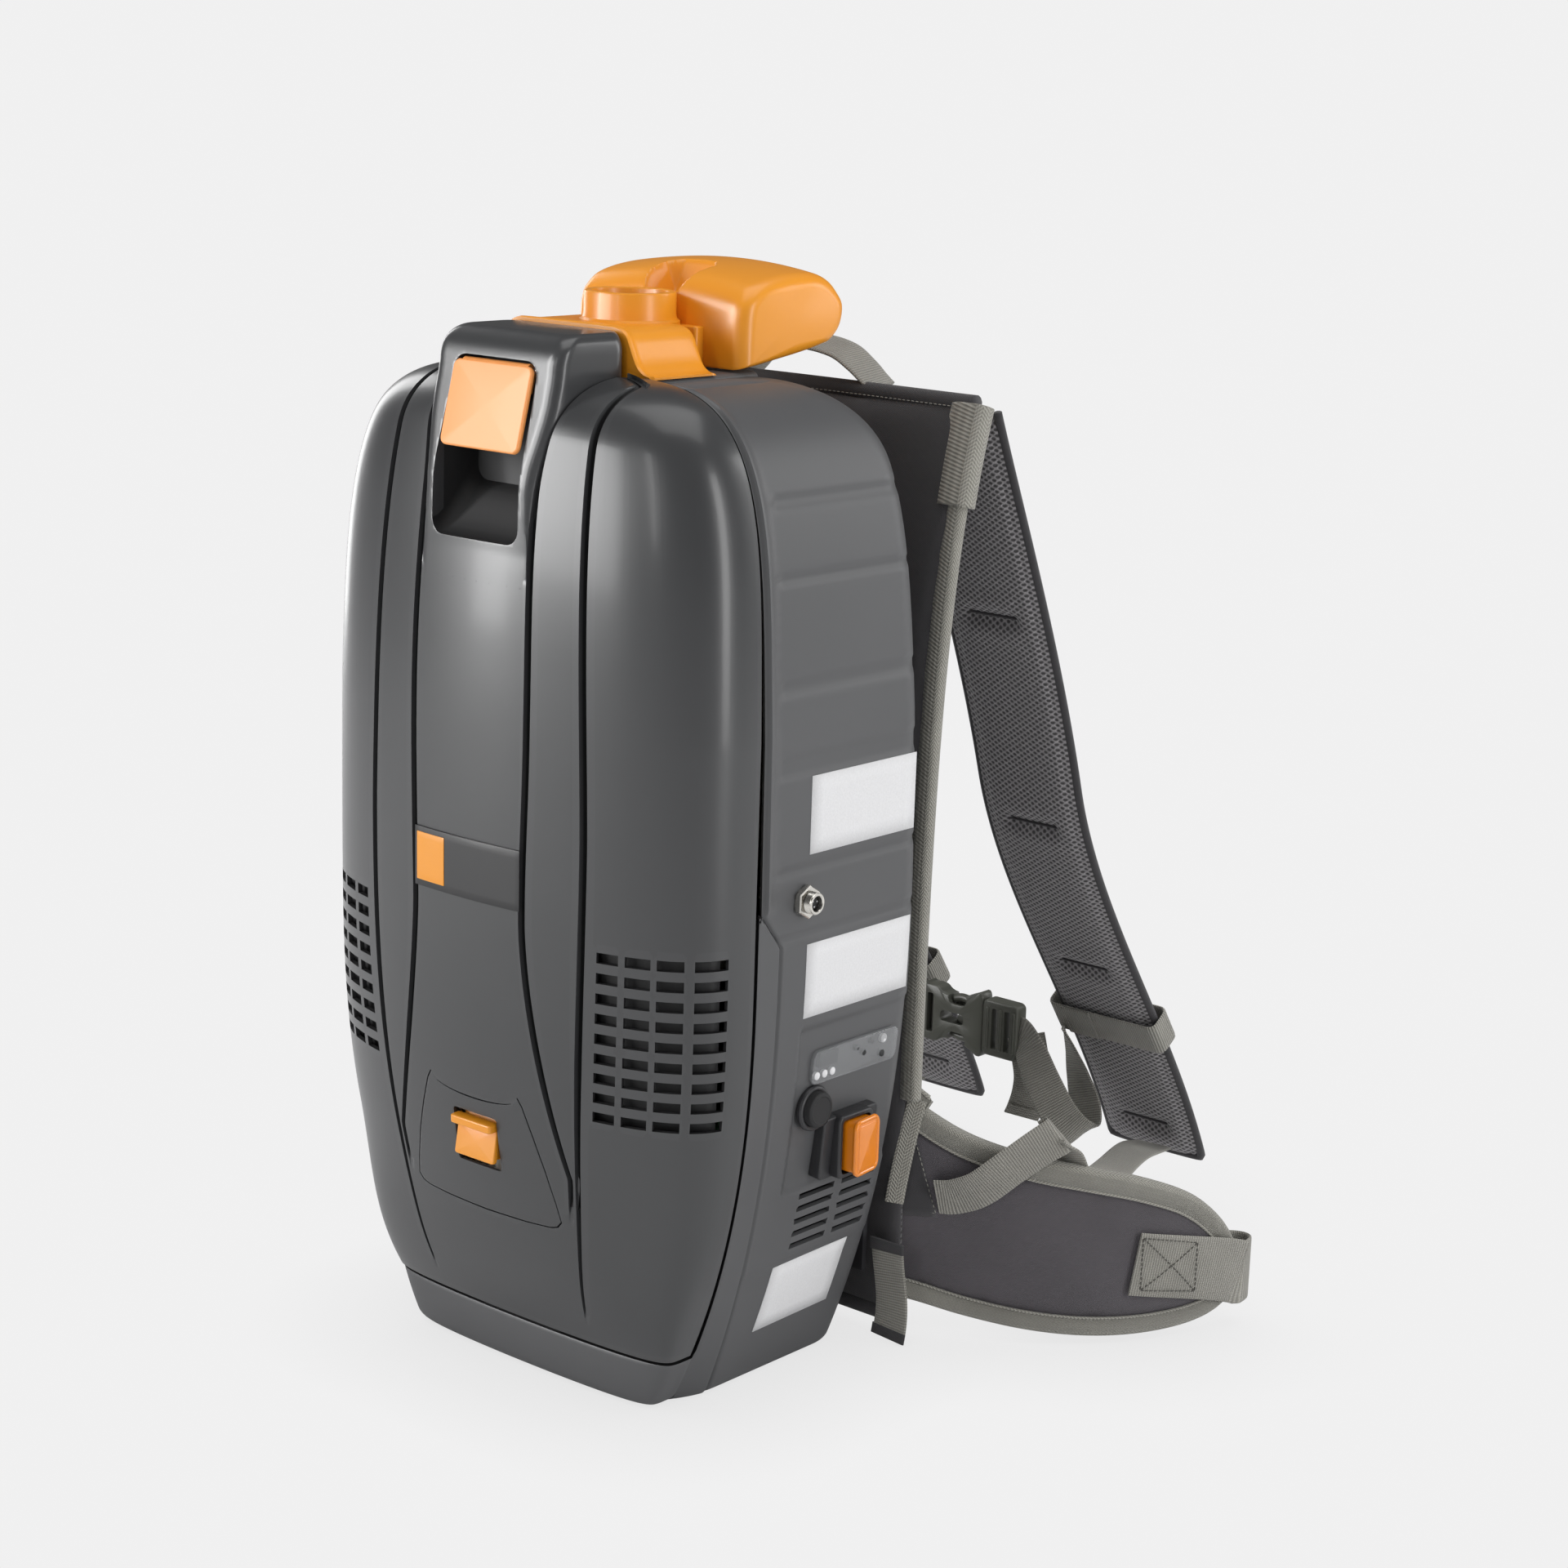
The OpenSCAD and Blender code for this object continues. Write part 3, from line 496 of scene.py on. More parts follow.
def metal(name, colour, rough, scratch=400.0):
    """Turned or rolled metal with fine streaks."""
    m, tree, shader = material(name, Metallic=1.0)
    streak = noise_at(tree, coords(tree), scratch, 4.0)
    paint(tree, shader, streak, tint(colour, 0.8), tint(colour, 1))
    roughen(tree, shader, streak, 0.15, rough)
    bump(tree, shader, streak, 0.1, 0.00003)
    return m


def webbing_material(name, colour, rib=0.0016, herringbone=False):
    """Woven webbing: ribs along its length, yarns across and slightly varied colour. Uses the weave map."""
    m, tree, shader = material(name, Roughness=0.78, Sheen_Weight=0.25, Sheen_Roughness=0.4)
    u, v, _ = split(tree, coords(tree, "UV"))
    if herringbone:
        zig = math_node(tree, "PINGPONG", v, 0.004)
        along = math_node(tree, "ADD", u, zig)
    else:
        along = u
    ribs = math_node(tree, "SINE", math_node(tree, "MULTIPLY", along, 2 * math.pi / rib))
    yarns = math_node(tree, "SINE", math_node(tree, "MULTIPLY", v, 2 * math.pi / (rib * 0.62)))
    height = math_node(tree, "MULTIPLY_ADD", yarns, 0.45, ribs)
    tone = math_node(tree, "MULTIPLY_ADD", height, 0.22, 0.55)
    cloud = noise_at(tree, coords(tree), 60.0, 4.0)
    tone = math_node(tree, "MULTIPLY_ADD", cloud, 0.25, math_node(tree, "SUBTRACT", tone, 0.12))
    paint(tree, shader, tone, tint(colour, 0.42), tint(colour, 1.35))
    bump(tree, shader, height, 0.8, 0.00035)
    return m


def canvas_material(name, colour, pitch=0.0011):
    """Plain woven cloth, by position, so it doesn't depend on any map."""
    m, tree, shader = material(name, Roughness=0.85, Sheen_Weight=0.2)
    at = coords(tree)
    x, y, z = split(tree, at)
    run = math_node(tree, "ADD", math_node(tree, "MULTIPLY", x, 0.75), y)
    warp = math_node(tree, "SINE", math_node(tree, "MULTIPLY", run, 2 * math.pi / pitch))
    weft = math_node(tree, "SINE", math_node(tree, "MULTIPLY", z, 2 * math.pi / pitch))
    height = math_node(tree, "MULTIPLY", warp, weft)
    cloud = noise_at(tree, at, 25.0, 5.0)
    tone = math_node(tree, "MULTIPLY_ADD", height, 0.2, math_node(tree, "MULTIPLY_ADD", cloud, 0.5, 0.2))
    paint(tree, shader, tone, tint(colour, 0.6), tint(colour, 1.3))
    bump(tree, shader, height, 0.6, 0.0003)
    return m


def spacer_mesh_material(name, colour, cell=0.0052, use_map=True):
    """Air-mesh fabric: staggered rows of oval holes between thick knitted ribs."""
    m, tree, shader = material(name, Roughness=0.8, Sheen_Weight=0.3)
    if use_map:
        u, v, _ = split(tree, coords(tree, "UV"))
    else:
        v, _, u = split(tree, coords(tree))
    hexes = []
    for shift in (0.0, 0.5):
        a = math_node(tree, "ADD", math_node(tree, "MULTIPLY", u, 1 / (cell * 0.72)), shift)
        b = math_node(tree, "ADD", math_node(tree, "MULTIPLY", v, 1 / cell), shift)
        a = math_node(tree, "SUBTRACT", math_node(tree, "FRACT", a), 0.5)
        b = math_node(tree, "SUBTRACT", math_node(tree, "FRACT", b), 0.5)
        a = math_node(tree, "MULTIPLY", a, 0.9)
        r = math_node(tree, "SQRT", math_node(tree, "ADD", math_node(tree, "MULTIPLY", a, a),
            math_node(tree, "MULTIPLY", b, b)))
        hexes.append(r)
    nearest = math_node(tree, "MINIMUM", hexes[0], hexes[1])
    rib = math_node(tree, "MULTIPLY", math_node(tree, "SUBTRACT", nearest, 0.16), 5.5)
    rib = math_node(tree, "MINIMUM", math_node(tree, "MAXIMUM", rib, 0.0), 1.0)
    yarn = noise_at(tree, coords(tree), 700.0, 3.0)
    tone = math_node(tree, "MULTIPLY", rib, math_node(tree, "MULTIPLY_ADD", yarn, 0.7, 0.55))
    paint(tree, shader, tone, tint(colour, 0.22), tint(colour, 1.5))
    bump(tree, shader, rib, 0.9, 0.0009)
    return m


def paper_material(name, colour, scale):
    """Paper or card with a fine fibre."""
    m, tree, shader = material(name, Roughness=0.75)
    fibre = noise_at(tree, coords(tree), scale, 6.0)
    paint(tree, shader, fibre, tint(colour, 0.82), tint(colour, 1))
    bump(tree, shader, fibre, 0.3, 0.0002)
    return m


def pleated_material(name, colour):
    """Pleated filter paper: folds a few millimetres apart."""
    m, tree, shader = material(name, Roughness=0.8)
    fold = math_node(tree, "PINGPONG", split(tree, coords(tree))[0], 0.0025)
    fold = math_node(tree, "MULTIPLY", fold, 400.0)
    paint(tree, shader, fold, tint(colour, 0.55), tint(colour, 1))
    bump(tree, shader, fold, 0.8, 0.001)
    return m


def clear_material(name, colour, alpha, rough=0.08):
    """Clear or tinted moulding that lets some of what is behind it through."""
    m, tree, shader = material(name, Alpha=alpha, Coat_Weight=0.6, Coat_Roughness=0.06)
    cloud = noise_at(tree, coords(tree), 90.0, 2.0)
    paint(tree, shader, cloud, tint(colour, 0.85), tint(colour, 1))
    roughen(tree, shader, cloud, 0.05, rough)
    return m


GREY = moulded("shell_grey", (0.046, 0.047, 0.049), 0.30, coat=0.15, edge=0.06)
# Same shell plastic for the housing, ears and chin: more matte, with a base colour lighter than the lid's
# because that side is lit, which is painted light.
GREY_MATTE_PAINTED_LIT = moulded("shell_grey_matte_painted_lit", (0.078, 0.079, 0.082), 0.46, edge=0.06)
# Near-black for groove floors, the head's recess, cut edges, the parting gaps and the sheet behind the
# vents: painted shade.
PAINTED_SHADE = moulded("painted_shade_black", (0.012, 0.012, 0.013), 0.6)
ORANGE = moulded("accent_orange", (0.80, 0.300, 0.014), 0.36, grain=1400, depth=0.00002, shade=0.05,
    coat=0.12)
ORANGE_PALE = moulded("release_orange", (0.93, 0.36, 0.10), 0.42, shade=0.04)
BLACK = moulded("black_plastic", (0.018, 0.018, 0.02), 0.42, edge=0.12)
RUBBER = moulded("black_rubber", (0.014, 0.014, 0.015), 0.7, grain=500)
BUCKLE = moulded("buckle_grey", (0.062, 0.064, 0.052), 0.4, edge=0.2)
WEBBING = webbing_material("webbing", (0.300, 0.290, 0.258))
BINDING = webbing_material("binding", (0.315, 0.305, 0.268), rib=0.0022, herringbone=True)
CANVAS = canvas_material("hip_fabric", (0.088, 0.080, 0.090))
MESH = spacer_mesh_material("pad_mesh", (0.235, 0.224, 0.233))
MESH_FLAT = spacer_mesh_material("pad_mesh_back", (0.05, 0.047, 0.05), use_map=False)
PIPING = canvas_material("piping", (0.045, 0.043, 0.047), 0.0008)
THREAD = webbing_material("thread", (0.30, 0.29, 0.26), rib=0.0010)
SEAM = webbing_material("seam_thread", (0.085, 0.082, 0.070), rib=0.0010)
STEEL = metal("bright_steel", (0.62, 0.63, 0.65), 0.25)
IRON = metal("motor_iron", (0.28, 0.29, 0.30), 0.45)
ALUMINIUM = metal("fan_aluminium", (0.76, 0.77, 0.78), 0.32)
NICKEL = metal("nickel", (0.74, 0.72, 0.67), 0.18)
LABEL = paper_material("label_white", (0.74, 0.74, 0.75), 900.0)
PAPER = paper_material("bag_paper", (0.74, 0.68, 0.55), 220.0)
CARD = paper_material("collar_card", (0.42, 0.30, 0.15), 350.0)
FILTER = pleated_material("filter_media", (0.80, 0.78, 0.71))
CIRCUIT = moulded("circuit", (0.03, 0.15, 0.06), 0.3, grain=1500)
WINDOW = clear_material("clear_window", (0.34, 0.35, 0.36), 0.45)
AMBER = clear_material("switch_orange", (0.86, 0.25, 0.008), 0.93, 0.14)
BADGE = moulded("badge_black", (0.009, 0.009, 0.010), 0.5, coat=0.05)


# ---- Outline of the body ----
def half_width(z):
    """Half width of the body at the parting plane, by height."""
    z = np.asarray(z, float)
    low = 1 - 0.363 * (np.clip(250 - z, 0, 250) / 250) ** 2.5
    s = np.clip((z - 380) / (BODY_H - 380), 0, 1)
    high = (1 - 0.04 * s) * (1 - s**4) ** 0.2
    return HALF_W * np.where(z < 250, low, np.where(z < 380, 1.0, high))


def rear_half(z):
    """Half width of the housing behind the parting plane."""
    z = np.asarray(z, float)
    return np.where(z < 290, HALF_W * (1 - 0.3 * (np.maximum(290 - z, 0) / 290) ** 2.5), half_width(z))


def side_half(y, z):
    """Half width of the body's side at a place."""
    u = np.clip(np.asarray(y, float) / 30, 0, 1)
    return half_width(z) + (rear_half(z) - half_width(z)) * (1 - (1 - u) ** 2)


def front_depth(z):
    """Depth of the lid in front of the parting plane, without its rounded ends."""
    z = np.asarray(z, float)
    return LID_DEPTH - np.where(z < 350, 1.25e-6 * (350 - z) ** 3, 1.87e-6 * (z - 350) ** 3)


def lid_front(z):
    """Depth of the lid with its rounded top and foot."""
    z = np.asarray(z, float)
    t = np.clip((z - (BODY_H - 34)) / 34, 0, 1)
    top = (1 - t**2.5) ** 0.4
    foot = np.where(z > 80, 0, 3.6 * ((80 - z) / 50) ** 2)
    return (front_depth(z) - foot) * top


def rear_y(z):
    """Back of the housing at each height."""
    z = np.asarray(z, float)
    flat = np.where(z > 219, REAR_DEPTH - 16 * ((z - 219) / 280) ** 2,
        REAR_DEPTH - 9 * (np.maximum(219 - z, 0) / 219) ** 1.5)
    t = np.clip((z - 513) / 42, 0, 1)
    return flat - 42 * (1 - np.sqrt(1 - t * t))


def plan_power(z):
    """Roundness of the lid's plan: full in the middle, squarer towards the base."""
    return 1 / 3 - 0.19 * smooth((130 - np.asarray(z, float)) / 100)


def lid_y(x, z):
    """Front surface of the lid at a point, before grooves."""
    share = np.clip(1 - (np.asarray(x, float) / half_width(z)) ** 2, 0, 1)
    return -1 - (lid_front(z) - 1) * share ** plan_power(z)


# ---- Lid ----
GROOVE_HALF = 2.3
GROOVE_DEEP = 5.5
VENT_TOP, VENT_PITCH, VENT_ROWS, VENT_H = 265.0, 11.1, 9, 5.8
VENT_FRACTIONS = (0.107, 0.296, 0.351, 0.554, 0.600, 0.784, 0.844, 0.977)


def inner_groove(z):
    """Distance of the inner groove from the middle."""
    z = np.asarray(z, float)
    low = 40.3 + 29 * (np.maximum(275 - z, 0) / 155) ** 1.55
    high = 40.3 + 2.0 * smooth((z - 275) / 100) * smooth((500 - z) / 110) + 4.5 * smooth((z - 500) / 55)
    return np.where(z < 275, low, high)


def outer_groove(z):
    """Distance of the outer groove from the middle."""
    z = np.asarray(z, float)
    return np.where(z < 322, 79 - 18 * (np.maximum(322 - z, 0) / 262) ** 2,
        79 - 9.5 * (np.maximum(z - 322, 0) / 228) ** 1.35)


def flank_fractions():
    """Places of the grid lines between the outer groove and the lid's edge, on the edges of every vent."""
    f = 1 - (1 - np.linspace(0, 1, 54)) ** 3
    return np.array(sorted(set(np.round(np.concatenate([f[1:], VENT_FRACTIONS]), 4))))


def lid_tracks(z):
    """Lateral places of the lid's grid lines on one side, from the middle out, and groove depth there."""
    xo = float(outer_groove(z))
    xi = min(float(inner_groove(z)), xo - 4.8)
    w = float(half_width(z))
    xo = min(xo, w * 0.86)
    half = GROOVE_HALF * float(np.interp(z, (50, 200), (0.4, 1)))
    xi = min(xi, xo - 2 * half - 0.6)
    deep = GROOVE_DEEP * float(smooth((z - 47) / 14)) * float(np.interp(z, (50, 140), (0.45, 1)))
    fade = float(smooth((z - 108) / 26))
    xs = list(np.linspace(0, xi - half, 26)[:-1])
    ds = [0.0] * 25
    for centre, share in ((xi, fade), (xo, 1.0)):
        for o, d in ((-1, 0), (-0.9, 0.5), (-0.8, 1), (0.8, 1), (0.9, 0.5), (1, 0)):
            xs.append(centre + o * half)
            ds.append(d * deep * share)
        if centre == xi:
            xs += list(np.linspace(xi + half, xo - half, 10)[1:-1])
            ds += [0.0] * 8
    f = flank_fractions()
    a = xo + half
    xs += list(a + f * (w - a))
    ds += [0.0] * len(f)
    return np.array(xs), np.array(ds), len(f)


def lid_rows():
    """Heights of the lid's grid lines, on the edges of every vent."""
    edges = []
    for k in range(VENT_ROWS):
        centre = VENT_TOP - VENT_PITCH * k
        edges += [centre - VENT_H / 2, centre + VENT_H / 2]
    base = [z for z in np.linspace(LID_BOTTOM + 0.8, 520, 170) if min(abs(z - e) for e in edges) > 1.0]
    top = 558.4 - 38.4 * (1 - np.linspace(0, 1, 26)) ** 2
    return np.array(sorted(set(np.round(np.concatenate([base, edges, top]), 3))))


def lid_skin():
    """Curved front of the lid with its two pairs of grooves, vents and door opening."""
    zs = lid_rows()
    xs_side, ds_side, flank = lid_tracks(300.0)
    n_side = len(xs_side)
    verts, cols = [], 2 * n_side - 1
    for z in zs:
        xs, ds, _ = lid_tracks(z)
        sunk = 2.5 * smooth((z - 456) / 12)
        for sign in (-1, 1):
            order = range(n_side - 1, 0, -1) if sign < 0 else range(n_side)
            for i in order:
                x = sign * xs[i]
                y = float(lid_y(x, z)) + ds[i] * min(1, abs(float(lid_y(x, z))) / 20)
                if abs(xs[i]) < 38:
                    y += sunk
                verts.append((x, y, z))
    first = n_side - flank - 1
    fr = flank_fractions()
    spans = list(zip(VENT_FRACTIONS[0::2], VENT_FRACTIONS[1::2]))

    def in_vent(r, c):
        z = (zs[r] + zs[r + 1]) / 2
        k = round((VENT_TOP - z) / VENT_PITCH)
        if not (0 <= k < VENT_ROWS and abs(z - (VENT_TOP - VENT_PITCH * k)) < VENT_H / 2):
            return False
        i = abs(c + 0.5 - (n_side - 1)) - 0.5
        j = i - first
        if not 1 <= j < len(fr):
            return False
        middle = (fr[int(j) - 1] + fr[int(j)]) / 2
        return any(lo < middle < hi for lo, hi in spans)

    faces, slots = [], []
    for r in range(len(zs) - 1):
        for c in range(cols - 1):
            i = int(abs(c + 0.5 - (n_side - 1)) - 0.5)
            under_head = xs_side[i + 1] < 34 and zs[r] > 462
            if under_head or in_vent(r, c):
                continue
            # Faces on a groove floor take the second, near-black finish: painted shade in the grooves.
            deep = (ds_side[i] + ds_side[i + 1]) / 2 > 3 and zs[r] > (60 if i > 40 else 118)
            faces.append((r * cols + c, r * cols + c + 1, (r + 1) * cols + c + 1, (r + 1) * cols + c))
            slots.append(1 if deep else 0)
    obj = fix_normals(new_object("lid_skin", verts, faces, GREY, slots=slots, extra=(PAINTED_SHADE,)))
    obj.data.update()
    if sum(p.normal.y for p in obj.data.polygons[:200]) > 0:
        obj.data.flip_normals()
    return obj


def lid_head():
    """Raised head at the top of the lid's middle panel, with the finger recess under the release handle."""
    zs = np.concatenate([np.linspace(452, 563, 60), 563 + 18 * np.sin(np.linspace(0.1, math.pi / 2, 16))])
    loops = []
    for z in zs:
        half = float(inner_groove(min(z, 545))) - 2.2 + 3.4 * smooth((z - 480) / 60)
        front = -float(front_depth(z)) if z < 470 else lid_recess_front(z)
        if z > 563:
            t = (z - 563) / 18
            front = -36 - 16.2 * math.sqrt(max(0, 1 - t * t)) ** 1.1
            half -= 7 * (1 - math.sqrt(max(0, 1 - max(0, (z - 571) / 10) ** 2)))
        depth = (-1.6 - front) / 2
        ring = densified(rounded_loop(half, depth, min(1.0 + 6 * smooth((z - 470) / 50), depth), 6), 3.0)
        follow = 1 - smooth((z - 465) / 50)
        loop = []
        for p in ring:
            level = min(z, 540)
            bend = float(lid_y(p[0], level)) - float(lid_y(0, level))
            bend *= follow * (1 - (p[1] + depth) / (2 * depth))
            loop.append((p[0], front + depth + p[1] + bend, z))
        loops.append(resample(loop + loop[:1], 160)[:-1])
    head = loft("lid_head", loops, GREY)
    levels = []
    for y in np.linspace(-85, -36, 14):
        t = smooth((y + 66) / 30)
        low = 473.5 + 26 * t
        wide = 31.6 - 3.0 * t
        ring = rounded_loop(wide, (567 - low) / 2, 8, 6)
        levels.append([(p[0], y, (567 + low) / 2 + p[1]) for p in ring])
    cut(head, loft("recess", levels, GREY))
    soften(head, 1.2, 3, 40)

    def in_recess(face):
        x, y, z = face.center / MM
        return abs(x) < 32 and 473 < z < 567.5 and lid_recess_front(z) + 2.2 < y < -35

    # The recess faces take the near-black finish: painted shade in the recess.
    refinish(head, PAINTED_SHADE, in_recess)
    return shade_by_angle(head, 50)


def lid_recess_front(z):
    """Front face of the head at each height beside the recess."""
    return float(np.interp(z, (470, 490, 505, 515, 525, 545, 556, 563), (-67.5, -66.9, -65.9, -64.0, -61.3,
        -56.0, -53.4, -52.2)))


def densified(ring, step):
    """A closed outline with points no further apart than step."""
    out = []
    n = len(ring)
    for i in range(n):
        a, b = ring[i], ring[(i + 1) % n]
        count = max(1, int(np.linalg.norm(b - a) / step))
        out += [a + (b - a) * k / count for k in range(count)]
    return np.array(out)


def door_cutter(name, grow):
    """Prism with the exhaust door's outline, made larger all round by grow."""
    xs = np.linspace(-33, 33, 15)
    top = [(x, 176 - 8.4 * math.sqrt(max(0, 1 - (x / 33.01) ** 2)) ** 0.8) for x in xs]
    right = [(36, 171), (42, 155), (48, 137), (53, 118), (55, 108), (52, 104.5), (47, 103)]
    low = [(30, 102), (0, 101.4), (-30, 102)]
    left = [(-x, z) for x, z in right[::-1]]
    outline = np.array(top + right + low + left)
    centre = outline.mean(0)
    if grow:
        direction = outline - centre
        outline = outline + grow * direction / np.linalg.norm(direction, axis=1)[:, None]
    return loft(name, [[(x, y, z) for x, z in outline] for y in (-90, -30)], GREY)


def lid():
    """The whole lid: skin, head, hinge barrel, inner rim and the near-black sheet behind its vents, which is
    painted shade.
    """
    # The skin's cut edges, round the vents, the door opening and at the gaps, take the near-black finish:
    # painted shade.
    skin = thicken(lid_skin(), 2.6, 1)
    cut(skin, door_cutter("opening", 0.9))
    parts = [shade_by_angle(skin, 38), lid_head(), lid_barrel(), lid_back_rim(), vent_shade_sheet()]
    return piece("lid_shell", parts, "lid", "shell_grey")


def lid_barrel():
    """Hinge barrel of the lid, inside the top of the chin, near-black as painted shade in the gap."""
    profile = [(1.6, 0), (2.0, 0), (2.3, 0.4), (2.3, 59.6), (2.0, 60), (1.6, 60)]
    return tube("barrel", (-30, -22, 27.5), X, profile, PAINTED_SHADE)


def lid_back_rim():
    """Inner edge strip of the lid behind the parting gap, near-black as painted shade in the gap."""
    zs = np.linspace(36, 556.5, 150)
    rows = []
    for z in zs:
        w = float(half_width(z)) - 2.6
        rows.append([(w, -1.2, z), (w, -6, z), (w - 3.6, -6, z), (w - 3.6, -1.2, z)])
    rows = np.array(rows)
    return joined("rim", [loft("rim", rows * np.array((side, 1, 1)), PAINTED_SHADE) for side in (1, -1)])


def vent_shade_sheet():
    """Near-black sheet close behind the two grids of vents: painted shade seen through them."""
    parts = []
    zs, shares = np.linspace(168, 274, 12), np.linspace(0.50, 0.965, 22)
    for side in (1, -1):
        rows = []
        for z in zs:
            w = float(half_width(z))
            rows.append([(side * s * w, float(lid_y(s * w, z)) + 5.0 + 2 * s, z) for s in shares])
        parts.append(thicken(sheet("vent_shade", rows, PAINTED_SHADE), 0.8))
    return joined("vent_shade", parts)


def exhaust_door():
    """Small door low on the lid, curved with it, around the orange latch."""
    zs = np.linspace(98, 180, 60)
    xs = np.linspace(-60, 60, 81)
    rows = [[(x, float(lid_y(x, z)), z) for x in xs] for z in zs]
    skin = facing(sheet("exhaust_door_finished", rows, GREY), 100, (0, -1, 0))
    thicken(skin, 2.4)
    cut(skin, door_cutter("outline", 0.0), operation="INTERSECT", solver="EXACT")
    cut(skin, slab("well", (0, -62, 143.6), (16.6, 15.6, 12), 2.0, 0.3, FRONT, GREY))
    soften(skin, 0.5, 2, 40)
    shade_by_angle(skin, 40)
    return place(skin, "exhaust_door", "shell_grey", "exhaust_door")


def door_latch():
    """Orange latch: a ledge to pull on above a short curved plate."""
    y = -57.0
    lean = (X, (0, 0.155, 0.988))
    plate = slab("plate", (0, y - 2.2, 142.2), (15.0, 9.6, 1.6), 1.6, 0.7, lean, ORANGE)
    lip = slab("lip", (0, y - 5.0, 153.5), (15.4, 3.6, 2.4), 1.8, 0.9, (X, (0, 1, 0.05)), ORANGE)
    inner = slab("inner", (0, y + 2.6, 146), (13.5, 12, 2.6), 1.0, 0.4, lean, ORANGE)
    return piece("door_latch", [plate, lip, inner], "door_latch", "accent_orange")


def release_handle():
    """Square orange release, hinged at its top edge and leaning with the head."""
    a = math.radians(14)
    down = np.array((0, -math.sin(a), -math.cos(a)))
    out = np.array((0, -math.cos(a), math.sin(a)))
    pin = np.array((0, -50, 562))
    centre = pin + down * 21.2 + out * 2.9
    axes = (X, -down)
    plate = slab("plate", centre, (28.6, 22.7, 1.7), 4.2, 1.1, axes, ORANGE_PALE, steps=8)
    web = slab("web", pin + down * 5.2 - out * 1.4, (23.8, 6.6, 3.0), 1.5, 0.6, axes, ORANGE_PALE)
    profile = [(1.6, 0), (3.4, 0), (3.4, 48), (1.6, 48)]
    barrel = tube("barrel", pin - np.array((24, 0, 0)), X, profile, ORANGE_PALE)
    return piece("release_handle", [plate, web, barrel], "release_handle", "accent_orange")


def badge():
    """Plain dark plate on the lid with an orange square at one end and no lettering."""
    parts = []
    for name, x0, x1, z0, z1, proud, colour in (("badge_finished", -39.6, 39.6, 281.5, 314.5, 1.0, BADGE),
            ("badge_square", -37.6, -15.5, 285.0, 311.5, 1.35, ORANGE)):
        xs = np.linspace(x0, x1, 24)
        zs = np.linspace(z0, z1, 8)
        rows = [[(x, float(lid_y(x, z)) - proud, z) for x in xs] for z in zs]
        plate = facing(sheet(name, rows, colour), 5, (0, -1, 0))
        thicken(plate, 0.8)
        soften(plate, 0.25, 2, 40)
        parts.append(shade_by_angle(plate, 40))
    return piece("badge_plate", parts, "lid", "badge_black")


# ---- Rear housing and front frame ----
CHANNELS = ((498, 504), (459, 464), (401, 408), (357, 368), (304, 309), (268, 272))
SLOT_ROWS, SLOT_TOP, SLOT_PITCH, SLOT_H = 5, 116.5, 7.7, 3.5
SLOT_COLUMNS = ((57, 87), (93.6, 123.6))
FOOT_ROWS = 6 - 6 * np.cos(np.linspace(0.02, math.pi / 2, 8))


def housing_sink(y, z):
    """How far the side of the housing is pressed in at a point."""
    sink = 0.0
    for lo, hi in CHANNELS:
        sink = sink + 1.5 * bump_between(z, lo + 1, hi - 1, 2.2)
    sink = sink * smooth((y - 12) / 6) * smooth((136 - y) / 5)
    sink = sink + 1.0 * smooth((75.5 - z) / 2.0)
    panel = bump_between(z, 122, 214, 3.0) * bump_between(y, 43, 131, 3.0)
    corner = max(0.0, math.hypot(max(0, 8 - (y - 41)), max(0, 8 - (z - 120))) - 8)
    return sink + 1.9 * panel * smooth(1 - corner / 3)


def seam_y(z):
    """Front edge of the rear housing at each height."""
    return float(np.interp(z, (0, 266, 286, 560), (FRAME_Y + 0.4, FRAME_Y + 0.4, 5.4, 1.0)))


def housing_rows():
    """Heights of the housing's grid lines, on the edges of every exhaust slot."""
    edges = []
    for k in range(SLOT_ROWS):
        top = SLOT_TOP - SLOT_PITCH * k
        edges += [top - SLOT_H, top]
    base = [z for z in np.concatenate([np.linspace(5, 266, 118), np.linspace(268, 286, 10),
        np.linspace(288, 520, 106)]) if min(abs(z - e) for e in edges) > 0.9]
    foot = 5 - 5 * np.sin(np.linspace(0, math.pi / 2, 6)[1:])
    top = 520 + 35 * np.sin(np.linspace(0.06, math.pi / 2, 22))
    return np.array(sorted(set(np.round(np.concatenate([foot, base, edges, top]), 3))))


def foot_inset(z, inset, rise):
    """How far the rounded foot of the body is drawn in at a height."""
    return inset * (1 - math.sqrt(max(0, 1 - max(0, (rise - z) / rise) ** 2)))


def housing_half(z):
    """Right half of the housing's section at one height, from the seam to the middle of the back."""
    r = 18.0
    foot = foot_inset(z, 4.2, 6)
    back = float(rear_y(z)) - foot
    y0 = seam_y(z)
    wide = float(rear_half(z))
    ys = np.concatenate([y0 + np.array((0, 0.5, 1.2, 2.2)), np.linspace(y0 + 3.5, back - r, 62),
        [e for pair in SLOT_COLUMNS for e in pair]])
    ys = sorted(set(np.round(ys, 3)))
    ys = [y for y in ys if y <= back - r + 1e-6]
    points = []
    for y in ys:
        x = float(side_half(y, z)) - foot
        lip = 1.6 * (1 - smooth((y - y0) / 2.0))
        bead = 1.4 * bump_between(y, y0 + 2.4, y0 + 4.2, 1.6) * smooth((z - 284) / 6)
        points.append((x - lip + bead - housing_sink(y, z), y))
    return points, wide - foot, back, r


def mirrored(points, z):
    """Closed row at one height from the points of its right half."""
    return [(x, y, z) for x, y in points] + [(-x, y, z) for x, y in points[-2::-1]]


